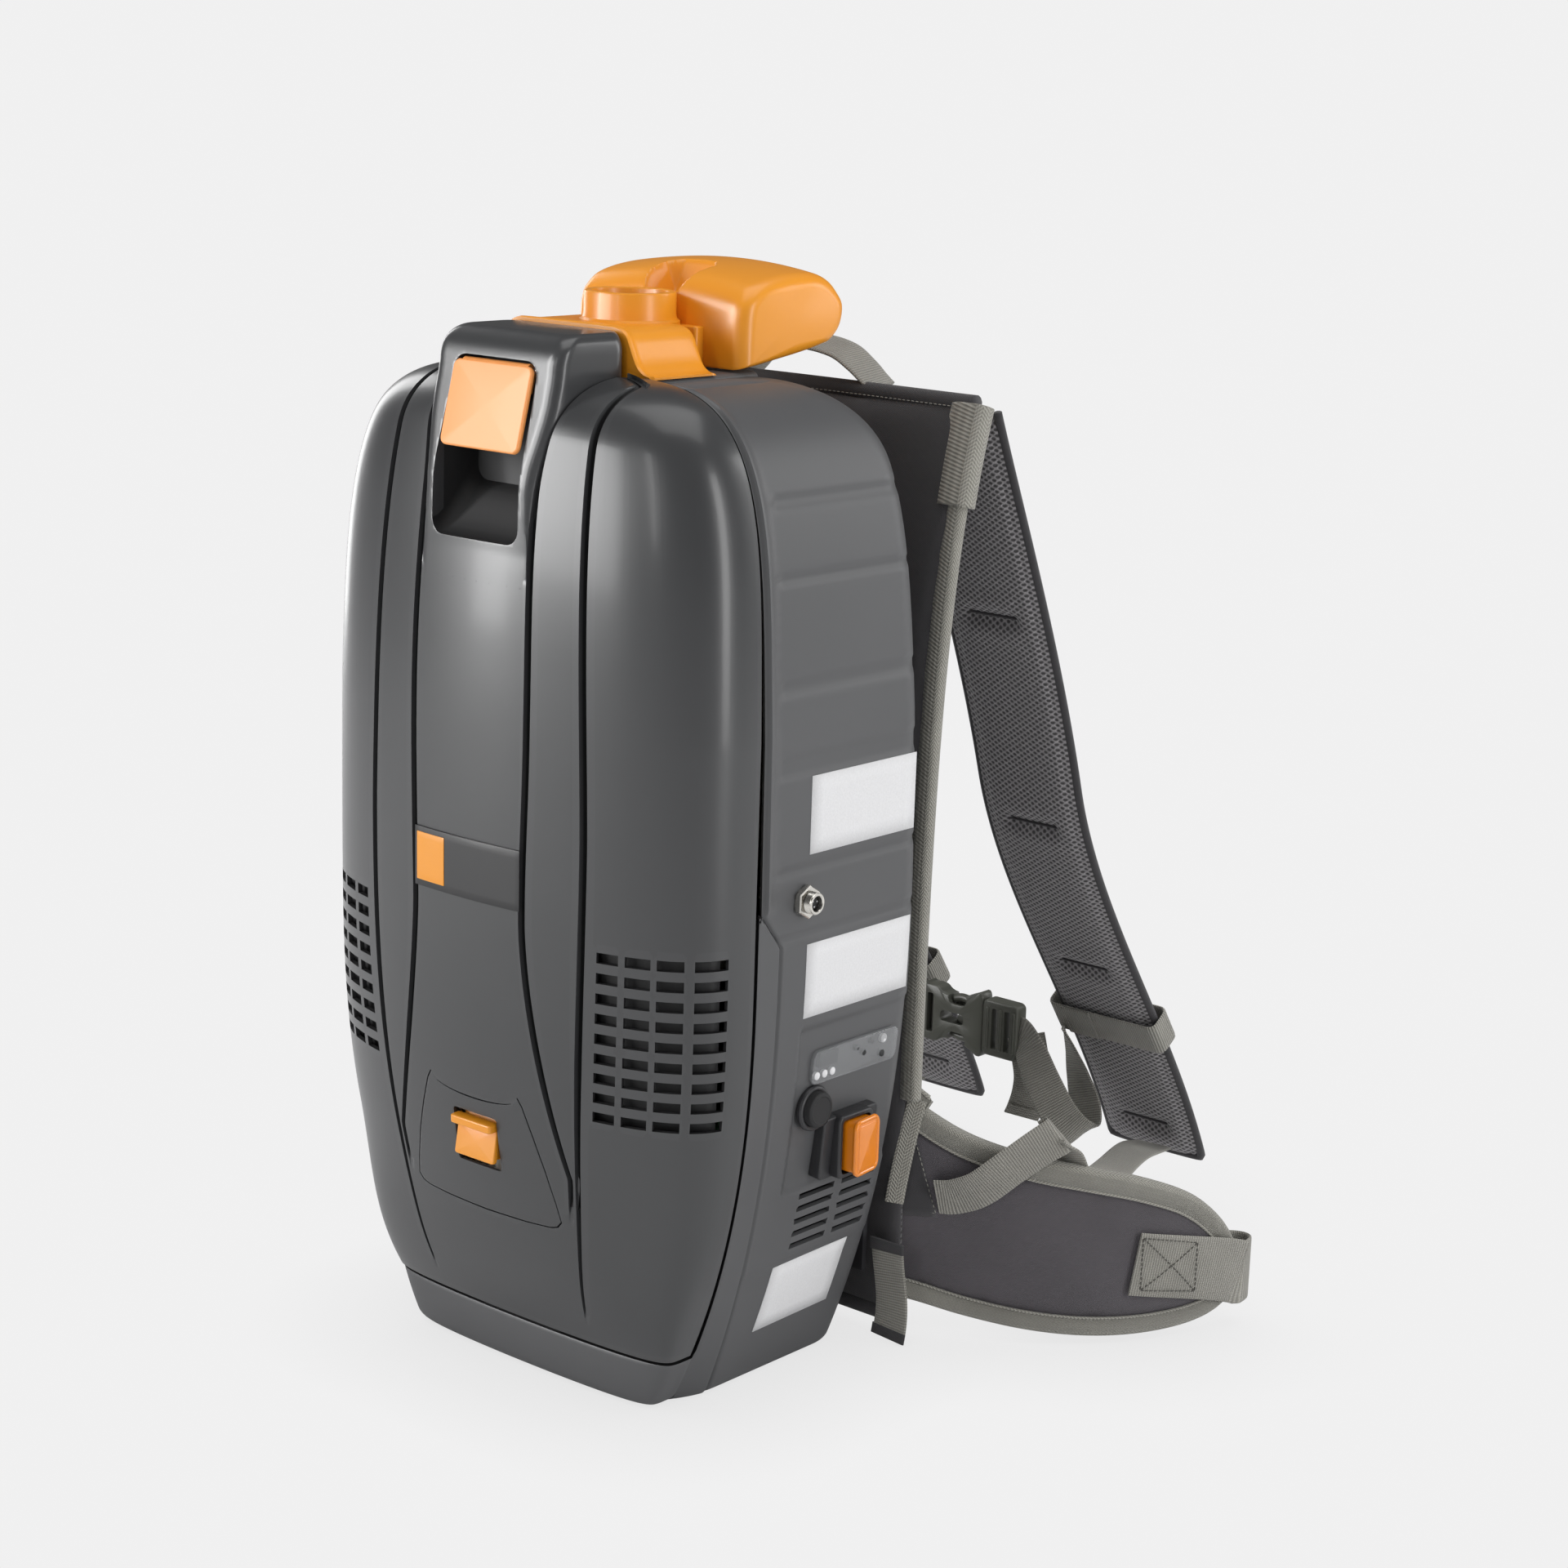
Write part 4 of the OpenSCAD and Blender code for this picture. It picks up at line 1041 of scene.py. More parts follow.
def rear_housing():
    """Back shell with its channels and exhaust slots, a roof and sole, and the plinth under the inlet."""
    zs = housing_rows()
    halves = [housing_half(z) for z in zs]
    n = min(len(h[0]) for h in halves)
    rows = []
    for (points, wide, back, r), z in zip(halves, zs):
        pts = points[:]
        while len(pts) > n:
            pts.pop(6)
        corner = []
        for k in range(1, 11):
            a = math.pi / 2 * k / 10
            sink = housing_sink(120, z) * (1 - k / 10)
            corner.append((wide - r + r * math.cos(a) - sink, back - r + r * math.sin(a)))
        flat = [(t * (wide - r), back) for t in (0.75, 0.5, 0.25, 0)]
        rows.append(pts + corner + flat)
    cols = len(rows[0])
    verts = []
    for row, z in zip(rows, zs):
        verts += mirrored(row, z)
    total = 2 * cols - 1

    def in_slot(r, c):
        z = (zs[r] + zs[r + 1]) / 2
        k = round((SLOT_TOP - SLOT_H / 2 - z) / SLOT_PITCH)
        if not (0 <= k < SLOT_ROWS and abs(z - (SLOT_TOP - SLOT_H / 2 - SLOT_PITCH * k)) < SLOT_H / 2):
            return False
        if c >= n - 1:
            return False
        y = (rows[r][c][1] + rows[r][c + 1][1]) / 2
        return any(lo < y < hi for lo, hi in SLOT_COLUMNS)

    faces = grid_faces(len(zs), total, skip=in_slot)
    shell = facing(new_object("shell", verts, faces, GREY_MATTE_PAINTED_LIT), len(faces) // 2 // total * total + 20, X)
    thicken(shell, 2.8)
    shade_by_angle(shell, 40)
    ring = np.array(mirrored(rows[-1], TOP_Z))
    inner = ring * np.array((0.5, 0.5, 1)) + np.array((0, 20, 0))
    roof = new_object("roof", np.vstack([ring, inner]), grid_faces(2, len(ring), wrap=True)
        + [tuple(range(2 * len(ring) - 1, len(ring) - 1, -1))], GREY_MATTE_PAINTED_LIT)
    thicken(fix_normals(roof), 2.6)
    sole = mirrored(rows[0], 0.0)
    base = fix_normals(new_object("sole", sole, [tuple(range(len(sole)))], GREY_MATTE_PAINTED_LIT))
    plinth = slab("plinth", (0, 47, 545), (60, 46, 12), 12, 3.5, PLAN, GREY_MATTE_PAINTED_LIT, steps=8)
    for part in (plinth, roof):
        bore = [(0, 0), (BORE_R, 0), (BORE_R, 90), (0, 90)]
        cut(part, tube("bore", (0, INLET_Y, 500), Z, bore, GREY_MATTE_PAINTED_LIT))
    shade_by_angle(plinth, 40)
    return piece("rear_housing", [shell, roof, base, plinth, screw_bosses()], "carrier", "shell_grey")


def screw_bosses():
    """Four posts inside the back for the harness screws."""
    posts = []
    for x in (-90, 90):
        for z in (120, 440):
            y1 = float(rear_y(z)) - 1.5
            profile = [(2.1, 0), (5, 0), (5, 13), (2.1, 13)]
            posts.append(tube("boss", (x, y1 - 13, z), Y, profile, GREY_MATTE_PAINTED_LIT, 24))
    return joined("bosses", posts)


def front_frame():
    """Fixed rim behind the lid up to the ears, with the chin below the lid."""
    zs = np.concatenate([FOOT_ROWS, np.linspace(8, 266, 90), np.linspace(268, 285.5, 12)])
    rows = []
    for z in zs:
        foot = foot_inset(z, 3.5, 5)
        y1 = seam_y(z) - 0.9
        y0 = 1.0 + 1.4 * smooth((z - 29) / 4)
        ys = np.concatenate([y0 + np.array((0, 0.3, 0.9, 2.0)),
            np.linspace(y0 + 3, max(y0 + 3.2, y1 - 2.2), 12), [y1 - 1.2, y1 - 0.4, y1]])
        row = []
        for y in ys:
            lip = 0.5 * (1 - smooth(y - y0)) * smooth((z - 28) / 4)
            lip += 1 - smooth((y1 - y) / 1.2)
            row.append((float(side_half(y, z)) - lip - foot, y, z))
        rows.append(row)
    rows = np.array(rows)
    parts = []
    for sign in (1, -1):
        side = facing(sheet("ear", rows * np.array((sign, 1, 1)), GREY_MATTE_PAINTED_LIT), 300, (sign, 0, 0))
        # The ears' cut edges at the parting gap take the near-black finish: painted shade.
        side.data.materials.append(PAINTED_SHADE)
        parts.append(shade_by_angle(thicken(side, 2.8, 1), 40))
    parts += [chin(), gap_shade_strip(1), gap_shade_strip(-1)]
    return piece("front_frame", parts, "carrier", "shell_grey")


def gap_shade_strip(side):
    """Near-black strip behind the parting gap between an ear and the lid: painted shade."""
    rows = []
    for z in np.linspace(CHIN_TOP, 284, 60):
        w = float(side_half(1, z)) - 3.0
        rows.append([(side * x, y, z) for x, y in ((w, 0.3), (w, 6), (w - 1.5, 6), (w - 1.5, 0.3))])
    return loft("ledge", rows, PAINTED_SHADE)


def chin():
    """Closed nose below the lid, with a rounded foot and a near-black upper face inside the parting gap:
    painted shade.
    """
    loops = []
    zs = np.concatenate([FOOT_ROWS, np.linspace(8, 28.9, 12), [CHIN_TOP]])
    for z in zs:
        foot = foot_inset(z, 6, 6)
        rim = 0.2 * smooth((z - 28.9) / 0.3)
        w = float(side_half(1, z)) - 0.7 * foot - rim
        d = 25.5 - 3 * (1 - z / 29) ** 2 - foot - rim
        power = float(plan_power(z))
        front = [(-w * math.cos(a), 1.5 - (d + 1.5) * max(0, 1 - math.cos(a) ** 2) ** power, z)
            for a in np.linspace(0, math.pi, 161)]
        back = [(x, 10.0, z) for x in np.linspace(w, -w, 20)]
        loops.append(front + back)
    nose = loft("chin", loops, GREY_MATTE_PAINTED_LIT)
    refinish(nose, PAINTED_SHADE, lambda face: face.normal.z > 0.9 and face.center.z > 29 * MM)
    return shade_by_angle(nose, 35)


# ---- Hose inlet ----
def saddle():
    """Collar of the inlet that lies over the plinth behind the lid's head, with a flared foot."""
    profile = [(0, 582), (30, 582), (36, 581.6), (40.5, 580.0), (43.5, 577), (46, 572), (48.6, 566.5),
        (51.5, 562), (55.5, 559.2), (60.0, 558.2)]
    outer = catmull(profile, 34)
    outline = [(x, z) for x, z in outer[::-1]] + [(-x, z) for x, z in outer[1:]]
    loops = []
    for y, grow in ((-0.5, 0.2), (-0.5, 0.9), (0.2, 1.5), (1.4, 1.7), (2.6, 1.5), (3.4, 0.8), (4.2, 0.1),
            *((y, 0) for y in np.linspace(7, 49, 16)), (51.0, -0.4), (52, -1.4)):
        ring = []
        for x, z in outline:
            side = abs(x) / 60
            ring.append((x * (1 + grow * 0.4 / 60), y, z + grow * (1 - 0.35 * side)))
        ring += [(x, y, 557.1) for x in np.linspace(-60, 60, 15)]
        loops.append(ring)
    collar = loft("saddle", loops, ORANGE)
    drop_faces(collar, lambda c: math.hypot(c.x / MM, c.y / MM - INLET_Y) < 22.5)
    return shade_by_angle(collar, 45)


def drop_faces(obj, inside):
    """Removes the faces whose centre satisfies a test."""
    bm = bmesh.new()
    bm.from_mesh(obj.data)
    doomed = [f for f in bm.faces if inside(f.calc_center_median())]
    bmesh.ops.delete(bm, geom=doomed, context="FACES")
    bm.to_mesh(obj.data)
    bm.free()


def inlet_block():
    """Rounded block behind the ring: flat sides, crowned top, bull-nosed back, valley facing the ring."""
    side = catmull([(70, 558.5), (69.6, 575), (70.6, 590), (73.6, 599.5), (80, 606.0), (90, 609.5),
        (104, 611.8), (120, 612.8), (135, 612.0), (147, 607), (154.5, 598), (157, 588),
        (154.5, 578), (147, 570.8), (138, 568.0), (120, 564.5), (95, 561), (78, 558.8), (70.2, 558.3)], 220)
    rim = 54 + 9 * np.sin(np.linspace(math.pi / 2, 0, 12))
    xs = np.concatenate([rim, np.linspace(51, 22, 10), np.linspace(20.5, 0, 22)])
    centre = np.array((113.0, 588.0))
    loops = []
    for x in np.concatenate([xs, -xs[-2::-1]]):
        over = max(0.0, (abs(x) - 54) / 9)
        inset = 9 * (1 - math.sqrt(max(0.0, 1 - over * over)))
        crown = 6.0 * (abs(x) / 63) ** 2
        ring = []
        for y, z in side:
            d = centre - (y, z)
            d = d / max(1e-6, math.hypot(*d))
            gy, gz = y + d[0] * inset * 1.1, z + d[1] * inset * 0.85
            gz -= crown * smooth((gz - 585) / 20)
            valley = 594.8 + 2.3 * max(0.0, abs(x) - 11.0) + 2.0 * max(0.0, gy - 96)
            ring.append((x, gy, min(gz, valley)))
        loops.append(ring)
    return shade_by_angle(loft("block", loops, ORANGE), 50)


def hose_inlet():
    """Orange inlet: saddle, rear block, socket ring and the neck that goes down to the bag."""
    ring = tube("ring", (0, INLET_Y, 0), Z, [(20.5, 560), (20.5, 596.2), (20.9, 597.2), (21.8, 597.6),
        (23.8, 597.6), (24.6, 597.2), (25, 596.2), (25.0, 585.5), (25.6, 583.2), (27.2, 582.0), (27.2, 578),
        (20.5, 578)], ORANGE, 96)
    bore = [(20.5, 524), (23, 524), (23, 566), (20.5, 566), (20.5, 524)]
    neck = tube("neck", (0, INLET_Y, 0), Z, bore, ORANGE, 96)
    bridge = slab("bridge", (0, 69.5, 569), (34, 6.0, 11), 2, 1, PLAN, ORANGE)
    parts = [saddle(), inlet_block(), ring, neck, bridge]
    return piece("hose_inlet", parts, "carrier", "accent_orange")


# ---- Controls on the right side ----
def side_labels():
    """Blank labels; nothing is printed on them."""
    parts = []
    for y0, y1, z0, z1 in ((41, 129, 313.5, 356), (41.5, 129.5, 222.5, 264)):
        ys = np.linspace(y0, y1, 10)
        zs = np.linspace(z0, z1, 6)
        rows = [[(float(side_half(y, z)) + 0.25, y, z) for y in ys] for z in zs]
        parts.append(sheet("label", rows, LABEL))
    rows = []
    for t in np.linspace(0, 1, 6):
        row = []
        for s in np.linspace(0, 1, 8):
            y = 48 + 63 * s - 3.0 * (1 - t)
            z = 33 + 40 * t + 1.5 * s
            row.append((float(rear_half(z)) - float(housing_sink(y, z)) + 0.35, y, z))
        rows.append(row)
    parts.append(sheet("label", rows, LABEL))
    for part in parts:
        thicken(facing(part, 0, X), 0.3)
    return piece("side_labels", parts, "carrier", "label_white")


def indicator_window():
    """Clear window with a row of lamps and a small display behind it."""
    x = float(rear_half(191)) - 1.2
    lean = np.array((0.11, 0, 1.0))
    parts = [slab("pane", (x + 0.3, 89.5, 191), (36.3, 9.8, 1.4), 4.5, 0.6, (Y, lean), WINDOW),
        slab("screen", (x + 0.2, 66, 195), (8.0, 4.2, 1.75), 0.8, 0.2, (Y, lean), BADGE)]
    for y, z, r in ((57, 186.5, 2.2), (63.5, 186.5, 2.2), (70, 186.5, 2.2), (91, 195, 1.8), (97, 191, 1.8),
            (104, 196, 1.8), (114, 195.5, 2.6), (113, 187, 2.0)):
        profile = [(0, 0), (r, 0), (r, 2.0), (r * 0.6, 2.5), (0, 2.6)]
        parts.append(tube("lamp", (x - 0.4, y, z), X, profile, LABEL if r > 2.1 else BADGE, 20))
    return piece("indicator_window", parts, "carrier", "clear_window")


def button():
    """Round black speed button in its bezel."""
    y, z = 57, 168
    x = float(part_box("button_bezel")[1].x) / MM - 3
    bezel = tube("button_bezel_finished", (x, y, z), X, [(10.1, -17), (11, -17), (11, 0), (12.8, 0),
        (12.8, 1.6), (12.2, 2.6), (11.2, 3.0), (10.3, 2.8), (10.1, 2.2), (10.1, -17)], BLACK, 72)
    place(bezel, "carrier", "black_plastic", "button_bezel")
    low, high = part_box("speed_button")
    top = high.x / MM - x
    cap = tube("speed_button_finished", (x, y, z), X, [(0, low.x / MM - x), (10, low.x / MM - x),
        (10, top - 2.2), (9.6, top - 1.2), (8.7, top - 0.5), (7.8, top - 0.3), (7.2, top - 0.7),
        (0, top - 1.1)], RUBBER, 72)
    return place(cap, "speed_button", "black_rubber", "speed_button")


def switch():
    """Rocker switch in a thick dark surround, under an amber cap with a rolled rim."""
    x = 139.0
    flange = slab("flange", (x - 2.0, 87, 142), (23, 18, 4.4), 3, 1.2, (Y, (0.09, 0, 1)), BLACK)
    collar = slab("collar", (x + 3.4, 87, 142), (14.6, 18.2, 4.4), 4, 1.4, FLANK, BLACK)
    cut(flange, tube("hole", (x - 9, 57, 168), X, [(0, 0), (13.1, 0), (13.1, 20), (0, 20)], BLACK, 48))
    for part in (flange, collar):
        cut(part, slab("opening", (x + 4, 87, 142), (12.0, 15.6, 12), 2.5, 0.4, FLANK, BLACK))
    case = slab("case", (x - 20, 87, 142), (17, 16, 8), 2, 0.6, FLANK, BLACK)
    shade_by_angle(piece("switch_body", [flange, collar, case], "carrier", "black_plastic"), 35)
    a = math.radians(6)
    out = np.array((math.cos(a), math.sin(a), 0))
    across = np.array((-math.sin(a), math.cos(a), 0))
    pivot = np.array((x + 1, 87, 142.0))
    block = slab("block", pivot + out * 6.6, (10.2, 14.6, 7.0), 3, 1.2, (across, Z), AMBER)
    rim = rolled_rim(pivot + out * 12.6, across, Z, 10.6, 14.9, 1.5, AMBER)
    face = slab("face", pivot + out * 12.9, (8.6, 12.8, 1.0), 2, 0.5, (across, Z), AMBER)
    return piece("switch_rocker", [block, rim, face], "switch_rocker", "switch_orange")


def rolled_rim(centre, u, v, half_u, half_v, r, colour):
    """Round bead that follows a rounded rectangle."""
    u, v = np.array(u, float), np.array(v, float)
    w = np.cross(u, v)
    path = rounded_loop(half_u, half_v, 4, 8)
    loops = []
    n = len(path)
    for i in range(n):
        ahead, behind = path[(i + 1) % n], path[i - 1]
        t = ahead - behind
        t = t / np.linalg.norm(t)
        side = np.array((t[1], -t[0]))
        ring = []
        for a in around(12):
            offset = side * math.cos(a) * r
            ring.append(np.array(centre) + u * (path[i][0] + offset[0]) + v * (path[i][1] + offset[1])
                + w * math.sin(a) * r)
        loops.append(ring)
    loops.append(loops[0])
    return fix_normals(loft("rim", loops, colour, cap=False), weld=True)


def charge_socket():
    """Nickel bayonet connector: thread, collar and a dark keyed insert."""
    y, z = 37.5, 289
    x = 144.0
    rings = [(0, 118), (6, 118), (6, x), (7.8, x), (7.8, x + 1.4), (7.2, x + 1.9), (5.9, x + 1.9)]
    for k in range(5):
        rings += [(5.6, x + 5.2 + k * 0.9), (6.0, x + 5.6 + k * 0.9)]
    rings += [(5.9, 153.2), (5.6, 153.9), (4.4, 153.9), (4.1, 153.5), (4.1, 146), (0, 146)]
    shell = tube("shell", (0, y, z), X, rings, NICKEL, 64)
    keyed = [(0, 146), (3.9, 146), (3.9, 150.5), (3.4, 151), (0, 151)]
    insert = tube("insert", (0, y, z), X, keyed, BLACK, 40)
    contact = [(0, 150), (0.5, 150), (0.5, 152), (0, 152.3)]
    pins = [tube("pin", (0, y + 2 * math.cos(a), z + 2 * math.sin(a)), X, contact, STEEL, 12)
        for a in (0.4, 2.5, 4.6)]
    piece("charge_socket", [shell, insert] + pins, "carrier", "nickel")
    loops = []
    for xx, r in ((145.1, 8.7), (145.6, 9.25), (148.4, 9.25), (149.1, 8.6)):
        loops.append([(xx, y + r * math.cos(a + 0.5), z + r * math.sin(a + 0.5))
            for a in around(6)])
    nut = loft("socket_nut_finished", loops, NICKEL)
    cut(nut, tube("hole", (140, y, z), X, [(0, 0), (6.01, 0), (6.01, 12), (0, 12)], NICKEL, 48))
    shade_by_angle(nut, 25)
    return place(nut, "carrier", "nickel", "socket_nut")


# ---- Soft goods and webbing ----
def hand(side):
    """Name of a side: 1 is the wearer's right, where the controls are."""
    return "right" if side > 0 else "left"


def handed(side, points):
    """Points given for the wearer's right, mirrored for the left."""
    return [(side * x, y, z) for x, y, z in points]


def path_frames(path, across):
    """Tangent, width and thickness directions along a path. Across is one direction or one per point."""
    path = np.array(path, float)
    tangent = tangents(path)
    wide = np.broadcast_to(np.array(across, float), path.shape).copy()
    wide -= tangent * (wide * tangent).sum(1)[:, None]
    wide /= np.linalg.norm(wide, axis=1)[:, None]
    thick = np.cross(tangent, wide)
    return tangent, wide, thick


def ribbon(name, path, across, width, thick, finish, step=2.0, ripple=0.0):
    """Flat webbing along a path, with rounded selvedges and a weave map in metres."""
    path = np.array(path, float)
    across = np.array(across, float)
    length = path_length(path)
    count = max(6, int(length / step))
    if across.ndim == 2:
        across = resample(path, count, across)
    path = resample(path, count)
    _, wide, up = path_frames(path, across)
    half = width / 2
    section = [(-half, 0), (-half + 0.5, 0.42), (-half + 1.6, 0.5), (-half * 0.5, 0.5), (0, 0.5),
        (half * 0.5, 0.5), (half - 1.6, 0.5), (half - 0.5, 0.42), (half, 0), (half - 0.5, -0.42),
        (half - 1.6, -0.5), (half * 0.5, -0.5), (0, -0.5), (-half * 0.5, -0.5), (-half + 1.6, -0.5),
        (-half + 0.5, -0.42)]
    run = arc_length(path)
    verts, uvs = [], []
    for i, p in enumerate(path):
        wave = ripple * math.sin(run[i] / 17.0) * math.sin(run[i] / 41.0 + 1)
        for s, t in section:
            verts.append(p + wide[i] * s + up[i] * (t * thick + wave * (s / half)))
            uvs.append((run[i], s))
    return shade_by_angle(strand(name, verts, uvs, len(section), finish), 60)


def stitches(path, up, finish=THREAD, pitch=3.2, long=2.2, r=0.32):
    """Row of small raised thread stitches along a path."""
    path = np.array(path, float)
    length = path_length(path)
    count = max(2, int(length / pitch))
    centres = resample(path, 2 * count + 1)[1::2]
    verts, faces = [], []
    for c, d in zip(centres, tangents(centres)):
        s = np.cross(d, up)
        s /= max(1e-9, np.linalg.norm(s))
        n = np.array(up, float)
        base = len(verts)
        for t, k in ((-1, 0.35), (-0.5, 0.9), (0.5, 0.9), (1, 0.35)):
            for a in (0, 90, 180, 270):
                turn = math.radians(a)
                round_it = s * math.cos(turn) + n * (math.sin(turn) + 0.5)
                verts.append(c + d * t * long / 2 + round_it * r * k)
        for i in range(3):
            for j in range(4):
                a, b = base + i * 4 + j, base + i * 4 + (j + 1) % 4
                faces.append((a, b, b + 4, a + 4))
        faces += [(base, base + 3, base + 2, base + 1), (base + 12, base + 13, base + 14, base + 15)]
    return new_object("stitches", verts, faces, finish)


def cord(name, path, r, finish, flat=1.0, across=X, lobes=8):
    """Round or flattened piping along a path, with a weave map."""
    path = np.array(path, float)
    _, wide, up = path_frames(path, across)
    run = arc_length(path)
    verts, uvs = [], []
    for i, p in enumerate(path):
        for k in range(lobes):
            a = 2 * math.pi * k / lobes
            verts.append(p + wide[i] * r * math.cos(a) + up[i] * r * flat * math.sin(a))
            uvs.append((run[i], r * a))
    return strand(name, verts, uvs, lobes, finish)


# Shoulder straps
STRAP_X, STRAP_W, STRAP_T = 90.0, 76.0, 14.0
PINCHES = (0.24, 0.49, 0.70, 0.955)


def strap_path():
    """Middle line of a shoulder strap in the side view."""
    upper = bezier([(214, 533), (236, 482), (284, 390), (312, 300)], 60)
    lower = bezier([(312, 300), (340, 215), (428, 130), (476, 30)], 60)
    both = resample(np.vstack([upper, lower[1:]]), 240)
    return np.stack([np.full(len(both), 0.0), both[:, 0], both[:, 1]], 1)


def shoulder_strap(side):
    """Padded strap: mesh face, dark piped edges and sewn pinches across its middle."""
    path = strap_path()
    path[:, 0] = side * STRAP_X
    _, wide, up = path_frames(path, X)
    run = np.linspace(0, 1, len(path))
    length = path_length(path)
    verts, uvs = [], []
    cols = 49
    for i, p in enumerate(path):
        end = min(1.0, math.sqrt(max(0.0, min(run[i], 1 - run[i]) * length / 9)))
        half = STRAP_W / 2 - 2.2 - 6 * (1 - end)
        for face in (1, -1):
            for k in range(cols):
                s = -1 + 2 * k / (cols - 1)
                crown = (1 - abs(s) ** 3.2) ** 0.45
                h = (STRAP_T / 2 - 0.6) * crown * (0.35 + 0.65 * end)
                for q in PINCHES:
                    along = (run[i] - q) * length
                    middle = bump_between(s, -0.42, 0.42, 0.22)
                    h -= 3.6 * middle * math.exp(-(along / 5.0) ** 2)
                    h += 0.7 * middle * math.exp(-((abs(along) - 11) / 6.0) ** 2)
                h -= 0.9 * math.exp(-((abs(s) - 0.86) / 0.05) ** 2)
                verts.append(p + wide[i] * s * half + up[i] * face * max(0.9, h))
                uvs.append((run[i] * length, s * half))
    pad = fix_normals(new_object("pad", verts, pad_faces(len(path), cols), MESH, uvs=uvs))
    half = STRAP_W / 2 - 2.6
    outline = [path[i] + wide[i] * half for i in range(0, len(path), 2)]
    ahead = tangents(path)[-1]
    outline += [path[-1] + wide[-1] * half * math.cos(a) + ahead * 1.5 * math.sin(a)
        for a in np.linspace(0.2, math.pi - 0.2, 9)]
    outline += [path[i] - wide[i] * half for i in range(len(path) - 1, -1, -2)]
    piping = cord("piping", resample(outline, 420), 2.5, PIPING, 1.15, (0, 0.8, 0.6), 10)
    bars = []
    for q in PINCHES:
        i = int(q * (len(path) - 1))
        for face in (1, -1):
            row = [path[i] + wide[i] * s + up[i] * face * (STRAP_T / 2 - 3.5)
                for s in np.linspace(-17, 17, 12)]
            bars.append(cord("bar", row, 0.9, PIPING, 1.0, up[i], 8))
    return piece("shoulder_strap_" + hand(side), [pad, piping] + bars, "carrier", "pad_mesh")


def strap_band(side):
    """Webbing band round the strap at chest height, with its overlapped end sewn down."""
    centre = np.array((side * STRAP_X, 415.2, 130))
    lean = math.radians(35)
    normal = np.array((0, -math.sin(lean), math.cos(lean)))
    thick = np.array((0, math.cos(lean), math.sin(lean)))
    loop = densified(rounded_loop(40.2, 9.0, 4.5, 6), 3.0)
    path = [centre + np.array(X) * p[0] + thick * p[1] for p in loop]
    path.append(path[0])
    band = ribbon("band", path, normal, WEB_W, WEB_T, WEBBING)
    lap = [centre + np.array((x, 0, 0)) + thick * (-10.3) for x in np.linspace(-side * 30, -side * 8, 12)]
    flap = ribbon("flap", lap, normal, WEB_W, 1.5, WEBBING)
    rows = []
    for x in (-28, -10):
        seam = [centre + np.array((x * side, 0, 0)) - thick * 11.3 + normal * t for t in (-10, 10)]
        rows.append(stitches(seam, -thick))
    return piece("strap_band_" + hand(side), [band, flap] + rows, "carrier", "webbing")


# Buckle on the chest strap
BUCKLE_Y, BUCKLE_Z = 392.0, 112.0


def buckle_female():
    """Receiving half of the chest buckle, with a slot, two windows and a webbing bar."""
    middle = np.array((-16, 0))
    outline = catmull([(-40, -17), (-40, 17), (-37, 19), (-29, 19), (-25, 16.5), (-20, 15.2), (-12, 15),
        (-6, 16.6), (0, 18.8), (8, 19), (8, -19), (0, -18.8), (-6, -16.6), (-12, -15), (-20, -15.2),
        (-25, -16.5), (-29, -19), (-37, -19), (-40, -17)], 120)[:-1]
    loops = []
    for y, inset in ((-6, 1.4), (-5.6, 0.6), (-4.6, 0), (4.6, 0), (5.6, 0.6), (6, 1.4)):
        share = inset / np.linalg.norm(outline - middle, axis=1)[:, None]
        ring = outline * (1 - share) + middle * share
        loops.append([(p[0], BUCKLE_Y + y, BUCKLE_Z + p[1]) for p in ring])
    body = loft("buckle_female_finished", loops, BUCKLE)
    tools = [slab("throat", (0, BUCKLE_Y, BUCKLE_Z), (18, 15.5, 3.6), 2, 0.4, FRONT, BUCKLE),
        slab("slot", (-16, BUCKLE_Y, BUCKLE_Z), (9.5, 3.6, 12), 2.4, 0.4, FRONT, BUCKLE),
        slab("bar", (-34, BUCKLE_Y, BUCKLE_Z), (2.6, 13.2, 12), 1.5, 0.4, FRONT, BUCKLE)]
    for s in (1, -1):
        tools.append(slab("window", (-12, BUCKLE_Y, BUCKLE_Z + s * 14.0), (7.5, 4.6, 12), 4.4, 0.4,
            FRONT, BUCKLE))
    cut(body, *tools)
    shade_by_angle(soften(body, 0.4, 2, 45), 45)
    return place(body, "carrier", "buckle_grey", "buckle_female")


def buckle_male():
    """Sliding half of the chest buckle: two sprung prongs, a guide and a two-slot webbing frame."""
    y, z = BUCKLE_Y, BUCKLE_Z
    body = slab("buckle_male_finished", (22.2, y, z), (13.8, 18.8, 5.6), 4, 1.6, FRONT, BUCKLE)
    cut(body, slab("slot", (18.2, y, z), (2.2, 13.6, 14), 1, 0.3, FRONT, BUCKLE),
        slab("slot", (28.4, y, z), (2.2, 13.6, 14), 1, 0.3, FRONT, BUCKLE))
    parts = [shade_by_angle(soften(body, 0.4, 2, 45), 45)]
    for s in (1, -1):
        prong = [(9, s * 12.0), (0, s * 12.2), (-7, s * 13.2), (-13, s * 13.4), (-18.5, s * 11.5),
            (-20, s * 9.8)]
        path = [(px, y, z + pz) for px, pz in catmull(prong, 24)]
        parts.append(cord("prong", path, 2.7, BUCKLE, 1.0, (0, 1, 0), 10))
    parts.append(slab("guide", (-2.5, y, z), (11.5, 2.8, 2.8), 2.5, 1.2, FRONT, BUCKLE))
    for x in (12.5, 23.2, 33.4):
        parts.append(slab("rib", (x, y - 5.4, z), (1.1, 14, 1.1), 1, 0.6, FRONT, BUCKLE))
    return piece("buckle_male", parts, "buckle_male", "buckle_grey")


